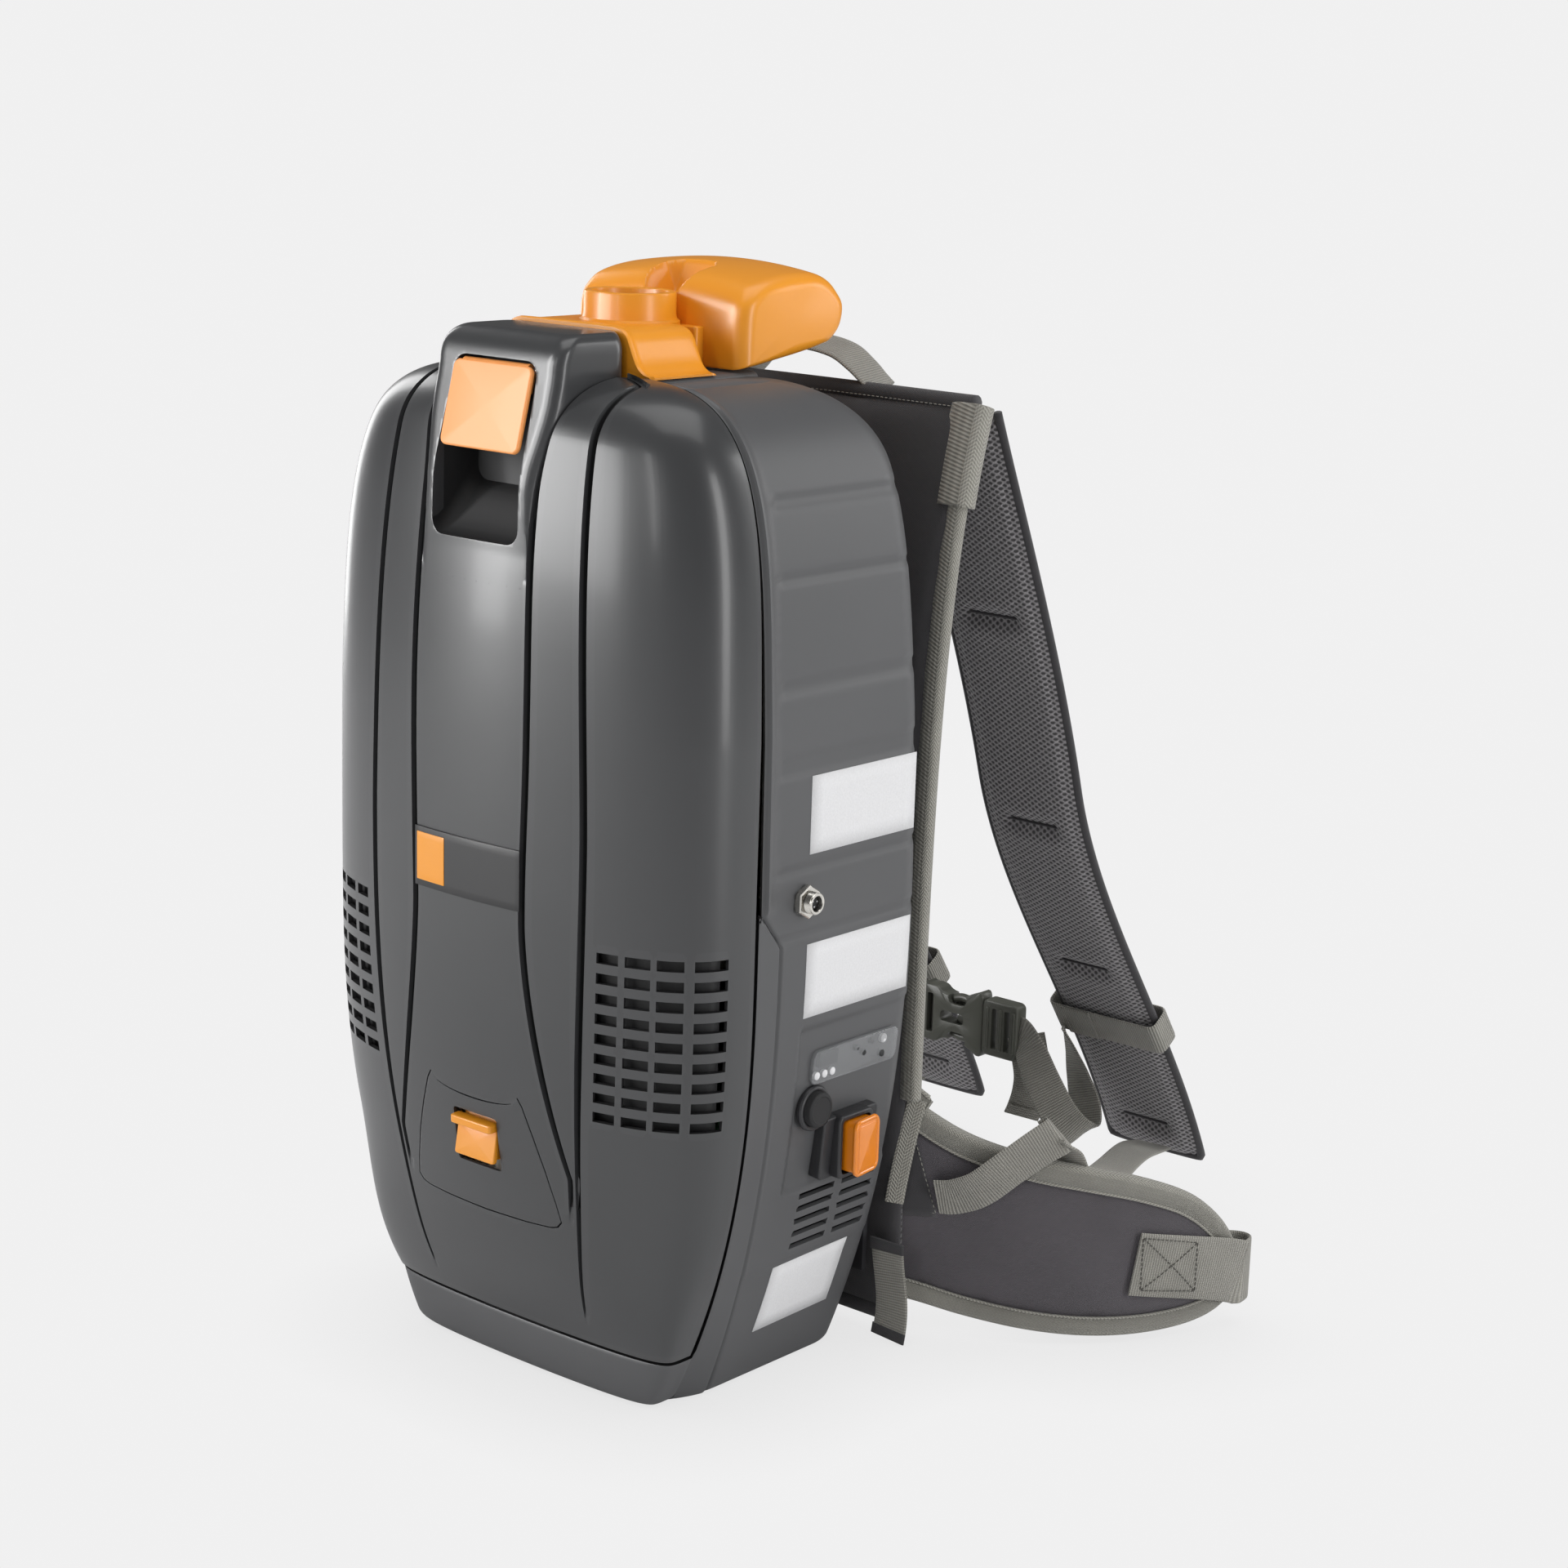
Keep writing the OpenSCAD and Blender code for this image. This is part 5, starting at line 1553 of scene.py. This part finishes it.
def sternum_webbing():
    """Chest webbing on the wearer's left, and the adjusting loop that hangs from the buckle on the right."""
    z = BUCKLE_Z
    left = catmull([(-58, 409, z + 4), (-52, 403, z + 2), (-46, 399, z), (-40, 395.5, z), (-36, 392, z),
        (-33, 390.5, z)], 40)
    strip = ribbon("sternum_webbing_left_finished", left, Z, WEB_W, 1.6, WEBBING)
    place(strip, "carrier", "webbing", "sternum_webbing_left")
    loop = catmull([(29, 392, 112), (38, 390.5, 111), (47, 388, 103), (59, 386, 86), (72, 388, 67),
        (80, 395, 56), (81, 405, 54), (77, 411, 65), (70, 411.5, 84), (64, 410, 102), (57, 408.5, 118)], 120)
    across = catmull([(0, 0, 1), (0.05, 0.05, 1), (0.25, 0.22, 0.92), (0.5, 0.42, 0.72), (0.62, 0.5, 0.58),
        (0.66, 0.54, 0.5), (0.68, 0.55, 0.5), (0.66, 0.50, 0.5), (0.55, 0.30, 0.6), (0.30, -0.2, 0.75),
        (0, -0.57, 0.82)], 120)
    right = ribbon("loop", loop, across, 24.0, 1.6, WEBBING)
    tail_path = catmull([(37, 396.5, 110), (40, 397, 98), (43, 397, 84), (42, 397, 72), (39, 397, 62),
        (36, 397, 55)], 50)
    tail = ribbon("tail", tail_path, (0.75, 0.62, 0.2), 24.0, 1.6, WEBBING)
    hem = ribbon("hem", tail_path[-7:] + np.array((0.9, -1.5, 0.2)), (0.75, 0.62, 0.2), 24.0, 1.6, WEBBING)
    both = joined("sternum_webbing_right_finished", [right, tail, hem])
    return place_bent(both, "buckle_male", "carrier", (34, 392, 100), (80, 392, 100), "webbing",
        "sternum_webbing_right")


# Back pad
PAD_HALF, PAD_T = 130.0, 13.0


def pad_centre():
    """Middle line of the back pad in the side view."""
    return bezier([(161, 12), (161, 260), (156, 420), (194, 538)], 90)


def back_pad():
    """Mesh-covered back panel: soft quilted body, bound edges, corner sleeves and a stitched top edge."""
    path = pad_centre()
    path3 = np.stack([np.zeros(len(path)), path[:, 0], path[:, 1]], 1)
    _, wide, up = path_frames(path3, X)
    cols = 61
    verts = []
    for i, p in enumerate(path3):
        t = i / (len(path3) - 1)
        end = min(1.0, math.sqrt(min(t, 1 - t) / 0.03))
        for face in (1, -1):
            for k in range(cols):
                s = -1 + 2 * k / (cols - 1)
                crown = (1 - abs(s) ** 8) ** 0.5
                h = (PAD_T / 2 - 1.4) * crown * (0.3 + 0.7 * end)
                if face > 0:
                    h -= 1.6 * math.exp(-((abs(s) - 0.36) / 0.035) ** 2)
                    quilt = math.exp(-(((t * 5.0) % 1.0 - 0.5) / 0.05) ** 2)
                    h -= 1.2 * quilt * bump_between(abs(s), 0.4, 0.85, 0.05)
                verts.append(p + wide[i] * s * (PAD_HALF - 2.5) + up[i] * face * max(3.0, h))
    pad = fix_normals(new_object("pad", verts, pad_faces(len(path3), cols), MESH_FLAT))
    puff(pad)
    refinish(pad, PIPING, lambda face: face.normal.y < 0.2)
    parts = [pad]
    for side in (1, -1):
        edge = [(side * (PAD_HALF - 0.8), q[0] + 0.5, q[1]) for q in path[17:-7]]
        parts.append(binding("binding", resample(edge, 200), (side, 0, 0), 4.4, 4.4))
        corner = [(side * (PAD_HALF + 0.2), q[0] + 1.0, q[1]) for q in path[-14:]]
        parts.append(binding("sleeve", resample(corner, 30), (side, 0, 0), 8.5, 7.4))
    top = [(x, path[-1][0] + 0.6 + 1.2 * math.cos(x / 40), path[-1][1] + 0.8)
        for x in np.linspace(-126, 126, 90)]
    parts.append(cord("top_binding", top, 5.4, PIPING, 1.0, (0, 1, 0.2), 12))
    parts.append(stitches([np.array(q) + np.array((0, -5.8, -1.5)) for q in top], (0, -1, 0)))
    parts.append(cord("foot_binding", [(x, 161, 12.5) for x in np.linspace(-124, 124, 60)], 5.6, PIPING, 1.0,
        (0, 1, 0), 12))
    return piece("back_pad", parts, "carrier", "pad_mesh")


def binding(name, path, outward, reach, thick):
    """Folded binding tape over an edge: a U-shaped sleeve with a woven map."""
    path = np.array(path, float)
    out = np.array(outward, float)
    tangent = tangents(path)
    verts, uvs = [], []
    run = arc_length(path)
    angles = np.linspace(-math.pi / 2, math.pi / 2, 9)
    for i, p in enumerate(path):
        o = out - tangent[i] * np.dot(out, tangent[i])
        o /= np.linalg.norm(o)
        n = np.cross(tangent[i], o)
        nose = [(reach * 0.6 * math.cos(a), math.sin(a)) for a in angles]
        section = [(-reach * 2.0, -0.92), (-reach, -1.0)] + nose + [(-reach, 1.0), (-reach * 2.0, 0.92)]
        for k, (s, t) in enumerate(section):
            verts.append(p + o * s + n * t * thick)
            uvs.append((run[i], k * 2.0))
    return strand(name, verts, uvs, len(angles) + 4, BINDING)


def puff(obj):
    """Inflates a closed fabric piece a little with a cloth simulation and keeps the swell small."""
    voxel, pressure, steps, cap = 4.0, 3.0, 12, 2.5
    mod = obj.modifiers.new("remesh", "REMESH")
    mod.mode = "VOXEL"
    mod.voxel_size = voxel * MM
    mod.use_smooth_shade = True
    apply_all(obj)
    start = np.array([v.co[:] for v in obj.data.vertices])
    cloth = obj.modifiers.new("cloth", "CLOTH")
    s = cloth.settings
    s.quality = 4
    s.mass = 0.3
    s.tension_stiffness = 25
    s.compression_stiffness = 25
    s.shear_stiffness = 12
    s.bending_stiffness = 2.5
    s.use_pressure = True
    s.uniform_pressure_force = pressure
    s.effector_weights.gravity = 0
    cloth.collision_settings.use_collision = False
    cloth.point_cache.frame_start = 1
    cloth.point_cache.frame_end = steps
    scene = bpy.context.scene
    for f in range(1, steps + 1):
        scene.frame_set(f)
    apply_all(obj)
    move = np.array([v.co[:] for v in obj.data.vertices]) - start
    size = np.linalg.norm(move, axis=1)
    move *= np.minimum(1, cap * MM / np.maximum(size, 1e-9))[:, None]
    obj.data.vertices.foreach_set("co", (start + move).ravel())
    scene.frame_set(1)
    sub = obj.modifiers.new("smooth", "SUBSURF")
    sub.levels = 1
    sub.render_levels = 1
    apply_all(obj)
    obj.data.polygons.foreach_set("use_smooth", [True] * len(obj.data.polygons))
    return obj


# Hip wings
WING_T = 13.0
# Plan position, lower edge and upper edge of a wing from its root to its end
WING_SHAPE = ((112, 160, 26, 152), (128, 175, 20, 134), (150, 190, 13.5, 120), (180, 208, 8.5, 111),
    (205, 230, 5.5, 105), (224, 256, 4.6, 97), (238, 284, 6.5, 84), (246, 304, 12.5, 66), (250, 318, 24, 44))
WING = resample(catmull(WING_SHAPE, 120), 64)


def wing_low(t):
    """Lower edge of a wing, t from its root (0) to its end (1)."""
    return float(np.interp(t, np.linspace(0, 1, len(WING)), WING[:, 2]))


def wing_high(t):
    """Upper edge of a wing."""
    return float(np.interp(t, np.linspace(0, 1, len(WING)), WING[:, 3]))


def wing_frames():
    """Plan line of a wing and its outward direction at each point."""
    plan = WING[:, :2]
    tangent = tangents(plan)
    return plan, np.stack([tangent[:, 1], -tangent[:, 0]], 1)


def hip_wing(side):
    """Curved padded wing: woven face, taupe bindings along both edges and round the end, inner seam line."""
    plan, outer = wing_frames()
    rows, cols = len(plan), 33
    verts = []
    for i in range(rows):
        t = i / (rows - 1)
        z0, z1 = wing_low(t) + 2.5, wing_high(t) - 2.5
        end = min(1.0, math.sqrt(max(0.0, (1 - t)) / 0.05)) * (0.3 + 0.7 * smooth(t / 0.22))
        for face in (1, -1):
            for k in range(cols):
                s = k / (cols - 1)
                z = z0 + (z1 - z0) * s
                crown = (1 - abs(2 * s - 1) ** 4) ** 0.5
                h = (WING_T / 2 - 1.4) * crown * (0.35 + 0.65 * end)
                if face > 0:
                    rim = min((z - z0), (z1 - z))
                    h -= 1.0 * math.exp(-((rim - 9.0) / 1.4) ** 2) * (1 if 0.12 < t < 0.96 else 0)
                x, y = plan[i] + outer[i] * face * max(0.8, h)
                verts.append((side * x, y, z))
    body = fix_normals(new_object("wing", verts, pad_faces(rows, cols), CANVAS))
    puff(body)
    parts = [body]
    edge = [(side * plan[i][0], plan[i][1], wing_high(i / (rows - 1)) - 1.5) for i in range(rows)]
    tip_t = np.linspace(wing_high(1.0) - 3, wing_low(1.0) + 3, 10)[1:-1]
    edge += [(side * (plan[-1][0] + 0.3), plan[-1][1] + 1.5 * math.sin(math.pi * k / 7), z)
        for k, z in enumerate(tip_t)]
    edge += [(side * plan[i][0], plan[i][1], wing_low(i / (rows - 1)) + 1.5)
        for i in range(rows - 1, -1, -1)]
    parts.append(edge_binding(resample(edge, 330), side))
    node = "hip_wing_" + hand(side)
    wing = joined(node + "_finished", parts + root_patch(side))
    return place_bent(wing, "carrier", node, *wing_bend(side), "hip_fabric", node)


def wing_bend(side):
    """Two points near the root of a wing, on the given side."""
    return (side * 116, 162, 80), (side * 148, 190, 80)


def root_patch(side):
    """Sewn patch at the root of a wing, with a bar of stitches and the tape along its edge."""
    rows = []
    for t in np.linspace(0, 1, 10):
        row = []
        for s in np.linspace(0, 1, 8):
            reach = lerp(0.02, lerp(0.085, 0.155, t), s)
            row.append(wing_point(reach, 3.0 + 3.2 * smooth(reach / 0.12), lerp(128 - 8 * s, 73, t), side))
        rows.append(row)
    parts = [thicken(fix_normals(sheet("patch", rows, PIPING)), 0.9)]
    out = (side * 0.6, -0.8, 0)
    edge = [wing_point(lerp(0.080, 0.150, t), 6.9, lerp(119, 75, t), side) for t in np.linspace(0, 1, 12)]
    foot = [wing_point(lerp(0.02, 0.150, t), 4.0 + 3.0 * t, 75.5, side) for t in np.linspace(0, 1, 12)]
    parts += [stitches(edge, out, THREAD), stitches(foot, out, THREAD)]
    tape = catmull([wing_point(t, off, z, side) for t, off, z in ((0.080, 8.4, 144), (0.060, 8.8, 128),
        (0.044, 9.0, 112), (0.030, 9.0, 96), (0.020, 8.8, 82))], 50)
    parts.append(ribbon("tape", tape, (side * 0.75, 0.6, 0.3), 11, 1.4, BINDING))
    return parts


def edge_binding(path, side):
    """Binding that follows the rim of a wing, folded over both faces."""
    path = np.array(path, float)
    tangent = tangents(path)
    plan, outer = wing_frames()
    centre = np.array((side * plan[30][0], plan[30][1], 70.0))
    verts, uvs, seam = [], [], []
    run = arc_length(path)
    count = 14
    for i, p in enumerate(path):
        j = int(np.argmin(((plan - (abs(p[0]), p[1])) ** 2).sum(1)))
        face = np.array((side * outer[j][0], outer[j][1], 0))
        inward = np.cross(tangent[i], face)
        if np.dot(inward, centre - p) < 0:
            inward = -inward
        seam.append(p + inward * 9.4 + face * 5.6)
        inward /= np.linalg.norm(inward)
        for k in range(count):
            if k < 9:
                a = math.pi * k / 8
                s, t = -3.2 * math.sin(a), 5.2 * math.cos(a)
            else:
                s, t = ((8.5, -5.9), (9.2, -4.5), (6.0, 0), (9.2, 4.5), (8.5, 5.9))[k - 9]
            verts.append(p + inward * s + face * t)
            uvs.append((run[i], k * 2.2))
    tape = strand("binding", verts, uvs, count, BINDING)
    return joined("binding", [tape, cord("seam", seam[4:-4], 0.9, BINDING, across=Z)])


def wing_point(t, off, z, side):
    """Point at a height and a distance off a wing's middle plane, t from its root to its end."""
    plan, outer = wing_frames()
    i = t * (len(plan) - 1)
    a = int(min(i, len(plan) - 2))
    f = i - a
    p = plan[a] * (1 - f) + plan[a + 1] * f
    o = outer[a] * (1 - f) + outer[a + 1] * f
    return np.array((side * (p[0] + o[0] * off), p[1] + o[1] * off, z))


def hip_webbing(side):
    """Wide webbing sewn to the wing's outer face with a crossed box, wrapped round its end to the buckle."""
    off = WING_T / 2 + 1.9
    path = [wing_point(t, off, 49 - 16 * max(0, (t - 0.62)) / 0.38, side)
        for t in np.linspace(0.62, 1.0, 22)]
    path += [np.array((side * x, y, z)) for x, y, z in ((256.5, 325, 33), (253.5, 329, 33), (249, 329.5, 33),
        (244.5, 325.5, 33.5))]
    path += [wing_point(t, -off, 34 + 12 * (1 - t) / 0.25, side) for t in (0.98, 0.93, 0.88, 0.83)]
    path += [np.array((side * x, y, 47.0)) for x, y in ((216, 281), (210, 272))]
    band = ribbon("band", catmull(path, 130), Z, 38.5, 1.8, WEBBING, ripple=0.25)
    lines = []
    o = off + 1.15
    for a, b in (((0.635, 33), (0.635, 65)), ((0.785, 28), (0.785, 58)), ((0.635, 65), (0.785, 58)),
            ((0.635, 33), (0.785, 28)), ((0.635, 65), (0.785, 28)), ((0.635, 33), (0.785, 58))):
        row = [wing_point(lerp(a[0], b[0], k), o, lerp(a[1], b[1], k), side) for k in np.linspace(0, 1, 10)]
        lines.append(stitches(row, (side * 0.75, -0.66, 0), SEAM, 2.8, 2.2, 0.42))
    return piece("hip_webbing_" + hand(side), [band] + lines, "hip_wing_" + hand(side), "webbing")


def lower_webbing(side):
    """Adjusting webbing: sewn at a wing's root, folded over its top edge and led to the strap's foot."""
    rise = catmull(handed(side, ((139.5, 172, 86), (150, 177, 88), (163, 182, 95), (176, 190, 108),
        (187, 202, 120), (194, 211, 127))), 70)
    rise_across = catmull(handed(side, ((0.15, -0.25, 0.95), (0.1, -0.3, 0.95), (-0.15, -0.4, 0.9),
        (-0.35, -0.5, 0.78), (-0.42, -0.5, 0.74), (-0.42, -0.5, 0.74))), 70)
    fall = catmull(handed(side, ((188, 214, 124), (191, 221, 116), (192, 230, 103), (187, 246, 86),
        (170, 284, 70), (142, 345, 58), (114, 412, 47), (99, 458, 36))), 110)
    fall_across = catmull(handed(side, ((-0.62, -0.48, 0.6), (-0.68, -0.5, 0.5), (-0.8, -0.45, 0.3),
        (-0.9, -0.3, 0.2), (-0.95, -0.2, 0.1), (-1, 0, 0.1), (-1, 0, 0), (-1, 0, 0))), 110)
    t, n = np.array((side * 0.52, 0.67, 0.52)), np.array((side * 0.78, -0.62, 0.02))
    fold = np.array([rise[-1] + t * a - n * b
        for a, b in ((0.8, 0.1), (2.0, 0.9), (2.5, 2.4), (2.0, 3.9), (0, 4.8), (-5, 5.0))])
    rise = np.concatenate([rise, fold])
    rise_across = np.concatenate([rise_across, [rise_across[-1]] * len(fold)])
    node, wing = "lower_webbing_" + hand(side), "hip_wing_" + hand(side)
    place_bent(ribbon(node + "_finished", rise, rise_across, WEB_W, WEB_T, WEBBING), "carrier", wing,
        *wing_bend(side), "webbing", node)
    place_bent(ribbon(node + "_run_finished", fall, fall_across, WEB_W, WEB_T, WEBBING), wing, "carrier",
        (side * 188, 216, 124), (side * 110, 420, 50), "webbing", node)


def hip_buckles():
    """Open halves of the hip buckle on the inner side of the wings."""
    for node, side in (("hip_buckle_female", 1), ("hip_buckle_male", -1)):
        a = math.radians(50)
        u = np.array((side * math.cos(a), math.sin(a), 0))
        c = np.array((side * 203, 264, 47.0))
        up = np.array((0, 0, 21))
        axes = (u, Z)
        if side > 0:
            shell = slab("shell", c - u * 18, (26, 23.5, 5.8), 7, 2.0, axes, BUCKLE)
            cut(shell, slab("throat", c - u * 34, (22, 19, 3.4), 2, 0.5, axes, BUCKLE),
                slab("bar", c + u * 1, (3.0, 19.4, 12), 1, 0.3, axes, BUCKLE),
                slab("window", c - u * 26 + up, (7.5, 5.6, 12), 4, 0.3, axes, BUCKLE),
                slab("window", c - u * 26 - up, (7.5, 5.6, 12), 4, 0.3, axes, BUCKLE))
            parts = [shell]
        else:
            shell = slab("shell", c + u * 1, (11, 23.5, 5.8), 5, 2.0, axes, BUCKLE)
            cut(shell, slab("bar", c - u * 2, (2.2, 19.4, 12), 1, 0.3, axes, BUCKLE),
                slab("bar", c + u * 6, (2.2, 19.4, 12), 1, 0.3, axes, BUCKLE))
            parts = [shell]
            for s in (1, -1):
                path = [c - u * d + np.array((0, 0, s * z))
                    for d, z in ((8, 16), (18, 16.5), (27, 18), (34, 17.5), (38, 15))]
                parts.append(cord("prong", catmull(path, 24), 3.0, BUCKLE, 1.0, np.cross(u, (0, 0, 1)), 10))
            parts.append(slab("guide", c - u * 19, (11, 3, 3), 2.5, 1.2, axes, BUCKLE))
        shade_by_angle(soften(shell, 0.5, 2, 45), 45)
        piece(node, parts, "hip_wing_" + hand(side), "buckle_grey")


def lower_tabs():
    """Short webbing tabs hanging at the foot of the pad, hemmed dark at both ends."""
    parts = []
    for side in (1, -1):
        path = [(side * (125 + 1.5 * math.sin(z / 12)), 149.5 + 1.6 * math.sin(z / 19 + 0.5), z)
            for z in np.linspace(61, 3, 40)]
        parts.append(ribbon("tab", path, (1, 0.1, 0), 22, 1.8, WEBBING, ripple=0.5))
        for z0, z1 in ((61.5, 55), (8, 1.8)):
            hem = [(side * (125 + 1.5 * math.sin(z / 12)), 148.8 + 1.6 * math.sin(z / 19 + 0.5), z)
                for z in np.linspace(z0, z1, 8)]
            parts.append(ribbon("hem", hem, (1, 0.1, 0), 23, 1.6, PIPING))
    return piece("lower_tabs", parts, "carrier", "webbing")


def grab_handle():
    """Webbing carrying loop, slightly twisted, with both feet sewn under the pad's top edge."""
    top = catmull([(-50, 204, 541), (-44, 203, 545.5), (-36, 202.5, 552), (-22, 202, 559), (0, 202, 562.5),
        (22, 202.5, 559.5), (36, 203, 552), (44, 204, 545.5), (50, 205, 541)], 90)
    across = [(0.02 * math.sin(t * 6), 1, 0.22 * math.sin(t * 3.1)) for t in np.linspace(0, 1, 90)]
    loop = ribbon("grab_handle_finished", top, across, 26, 2.0, WEBBING)
    return place(loop, "grab_handle", "webbing", "grab_handle")


def harness():
    """All straps, pads, webbing and buckles."""
    back_pad()
    for side in (1, -1):
        shoulder_strap(side)
        strap_band(side)
        hip_wing(side)
        hip_webbing(side)
        lower_webbing(side)
    sternum_webbing()
    buckle_female()
    buckle_male()
    hip_buckles()
    lower_tabs()
    grab_handle()


# ---- Inner parts: CAD shapes with finished materials ----
INNER = {
    "chamber_floor": BLACK, "inlet_seal": RUBBER, "bag_collar": CARD, "filter_frame": BLACK,
    "pre_filter": FILTER, "motor_housing": BLACK, "motor_cover": BLACK, "motor_mounts": RUBBER,
    "motor_stator": IRON, "motor_bearings": STEEL, "rotor_shaft": STEEL, "fan_wheel": ALUMINIUM,
    "battery_pack": BLACK, "battery_cradle": BLACK, "control_board": CIRCUIT, "housing_screws": STEEL,
    "lid_seal": RUBBER, "release_pin": STEEL, "exhaust_filter": FILTER, "harness_board": BLACK,
    "lid_hinge_pin": STEEL,
}


def dust_bag():
    """Filled paper bag: gathered pleats towards both ends, soft dents and a glued seam down each side."""
    loops = []
    for t in np.linspace(0, 1, 90):
        plump = 0.55 + 0.45 * math.sqrt(max(0, 1 - (2 * t - 1) ** 2))
        gather = 0.004 + 0.034 * abs(2 * t - 1) ** 3
        ring = []
        for a in around(240):
            pleat = gather * (0.5 + 0.5 * math.sin(22 * a + 2.4 * math.sin(3 * a)))
            dent = 0.014 * (0.5 + 0.5 * math.sin(3 * a + 7 * t) * math.sin(11 * t + 2 * math.cos(2 * a)))
            seam = 0.014 * (1 - math.exp(-(math.sin(a) / 0.035) ** 2))
            r = plump * (1 - pleat - dent - seam)
            ring.append((104 * r * math.cos(a), 36 + 76 * r * math.sin(a), lerp(206.2, 517.8, t)))
        loops.append(ring)
    bag = loft("dust_bag_finished", loops, PAPER)
    return place(shade_by_angle(bag, 50), "carrier", "bag_paper", "dust_bag")


def finish_inner_parts():
    """Gives the CAD shapes inside the body their materials."""
    for name, finish in INNER.items():
        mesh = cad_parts[name].data
        mesh.materials.clear()
        mesh.materials.append(finish)


# ---- Studio ----
def studio():
    """Pale paper floor, even sky and soft panels. The sheen panel only shows in reflections."""
    bpy.ops.mesh.primitive_plane_add(size=1)
    floor = bpy.context.object
    floor.name = "floor"
    floor.scale = (120, 120, 1)
    floor.location = (0, 0, -0.001)
    floor.data.materials.append(floor_paper())
    world = bpy.data.worlds.new("studio")
    bpy.context.scene.world = world
    world.use_nodes = True
    tree = world.node_tree
    background = tree.nodes["Background"]
    path = tree.nodes.new("ShaderNodeLightPath")
    dim = math_node(tree, "MULTIPLY_ADD", path.outputs["Is Glossy Ray"], GLOSSY_SKY - DIFFUSE_SKY,
        DIFFUSE_SKY)
    seen = math_node(tree, "MULTIPLY", path.outputs["Is Camera Ray"], PAPER_TONE - DIFFUSE_SKY)
    background.inputs[0].default_value = (1.0, 0.998, 1.0, 1)
    tree.links.new(math_node(tree, "ADD", dim, seen), background.inputs[1])
    bpy.context.scene.view_settings.view_transform = "Standard"
    panel_light("key", (-1.55, -1.85, 1.0), (0, 0, 0.3), 0.34, 1.9, 34)
    panel_light("side", (2.4, 0.25, 0.9), (0, 0.1, 0.3), 0.55, 1.9, 23)
    panel_light("front", (0.55, -2.6, 1.3), (0, 0, 0.3), 0.22, 1.3, 7)
    panel_light("top", (0.2, 0.3, 2.6), (0, 0, 0.3), 1.8, 1.8, 19)
    panel_light("edge", (-2.2, 0.7, 0.9), (0, 0, 0.3), 0.6, 2.0, 16)
    panel_light("back", (1.4, 2.2, 1.1), (0, 0.2, 0.3), 0.6, 1.6, 16)
    panel_light("sheen", (-0.95, -2.25, 0.95), (0, 0, 0.35), 1.5, 1.3, 58).visible_diffuse = False


def floor_paper():
    """Pale seamless paper: evenly bright to the camera, with a soft contact shadow near the object."""
    m, tree, shader = material("floor_paper", Base_Color=(0.80, 0.80, 0.805, 1), Roughness=0.95,
        Specular_IOR_Level=0.0)
    speck = noise_at(tree, coords(tree), 900.0, 2.0)
    glow = tree.nodes.new("ShaderNodeEmission")
    tree.links.new(math_node(tree, "MULTIPLY_ADD", speck, 0.004, PAPER_TONE - 0.002),
        glow.inputs["Strength"])
    shade = tree.nodes.new("ShaderNodeAmbientOcclusion")
    shade.inputs["Distance"].default_value = 0.10
    shade.samples = 8
    open_sky = math_node(tree, "MULTIPLY_ADD", shade.outputs["AO"], 0.16, 0.84)
    tree.links.new(mix_colour(tree, open_sky, (0, 0, 0, 1), (1.0, 0.998, 1.0, 1)), glow.inputs["Color"])
    path = tree.nodes.new("ShaderNodeLightPath")
    mixer = tree.nodes.new("ShaderNodeMixShader")
    tree.links.new(path.outputs["Is Camera Ray"], mixer.inputs[0])
    tree.links.new(shader.outputs[0], mixer.inputs[1])
    tree.links.new(glow.outputs[0], mixer.inputs[2])
    out = next(n for n in tree.nodes if n.type == "OUTPUT_MATERIAL")
    tree.links.new(mixer.outputs[0], out.inputs["Surface"])
    return m


def panel_light(name, at, target, wide, tall, power):
    """Rectangular area light that faces a target, in metres and watts."""
    data = bpy.data.lights.new(name, "AREA")
    data.shape = "RECTANGLE"
    data.size = wide
    data.size_y = tall
    data.energy = power
    lamp = bpy.data.objects.new(name, data)
    lamp.location = at
    lamp.rotation_euler = (Vector(target) - Vector(at)).to_track_quat("-Z", "Y").to_euler()
    bpy.context.scene.collection.objects.link(lamp)
    return lamp


def camera():
    """Camera at the object's right front, a little above it."""
    a, e, r = math.radians(40.13), math.radians(13.19), math.radians(-1.88)
    back = Vector((math.sin(a) * math.cos(e), -math.cos(a) * math.cos(e), math.sin(e)))
    right = (-back).cross(Vector((0, 0, 1))).normalized()
    down = (-back).cross(right)
    side = math.cos(r) * right + math.sin(r) * down
    low = -math.sin(r) * right + math.cos(r) * down
    data = bpy.data.cameras.new("camera")
    data.lens = 73.05
    data.sensor_width = 36
    cam = bpy.data.objects.new("camera", data)
    cam.matrix_world = Matrix(((side.x, -low.x, back.x, 1.1798), (side.y, -low.y, back.y, -1.2101),
        (side.z, -low.z, back.z, 0.7318), (0, 0, 0, 1)))
    bpy.context.scene.collection.objects.link(cam)
    bpy.context.scene.camera = cam


lid()
exhaust_door()
door_latch()
release_handle()
badge()
rear_housing()
front_frame()
hose_inlet()
side_labels()
indicator_window()
button()
switch()
charge_socket()
dust_bag()
finish_inner_parts()
harness()
studio()
camera()
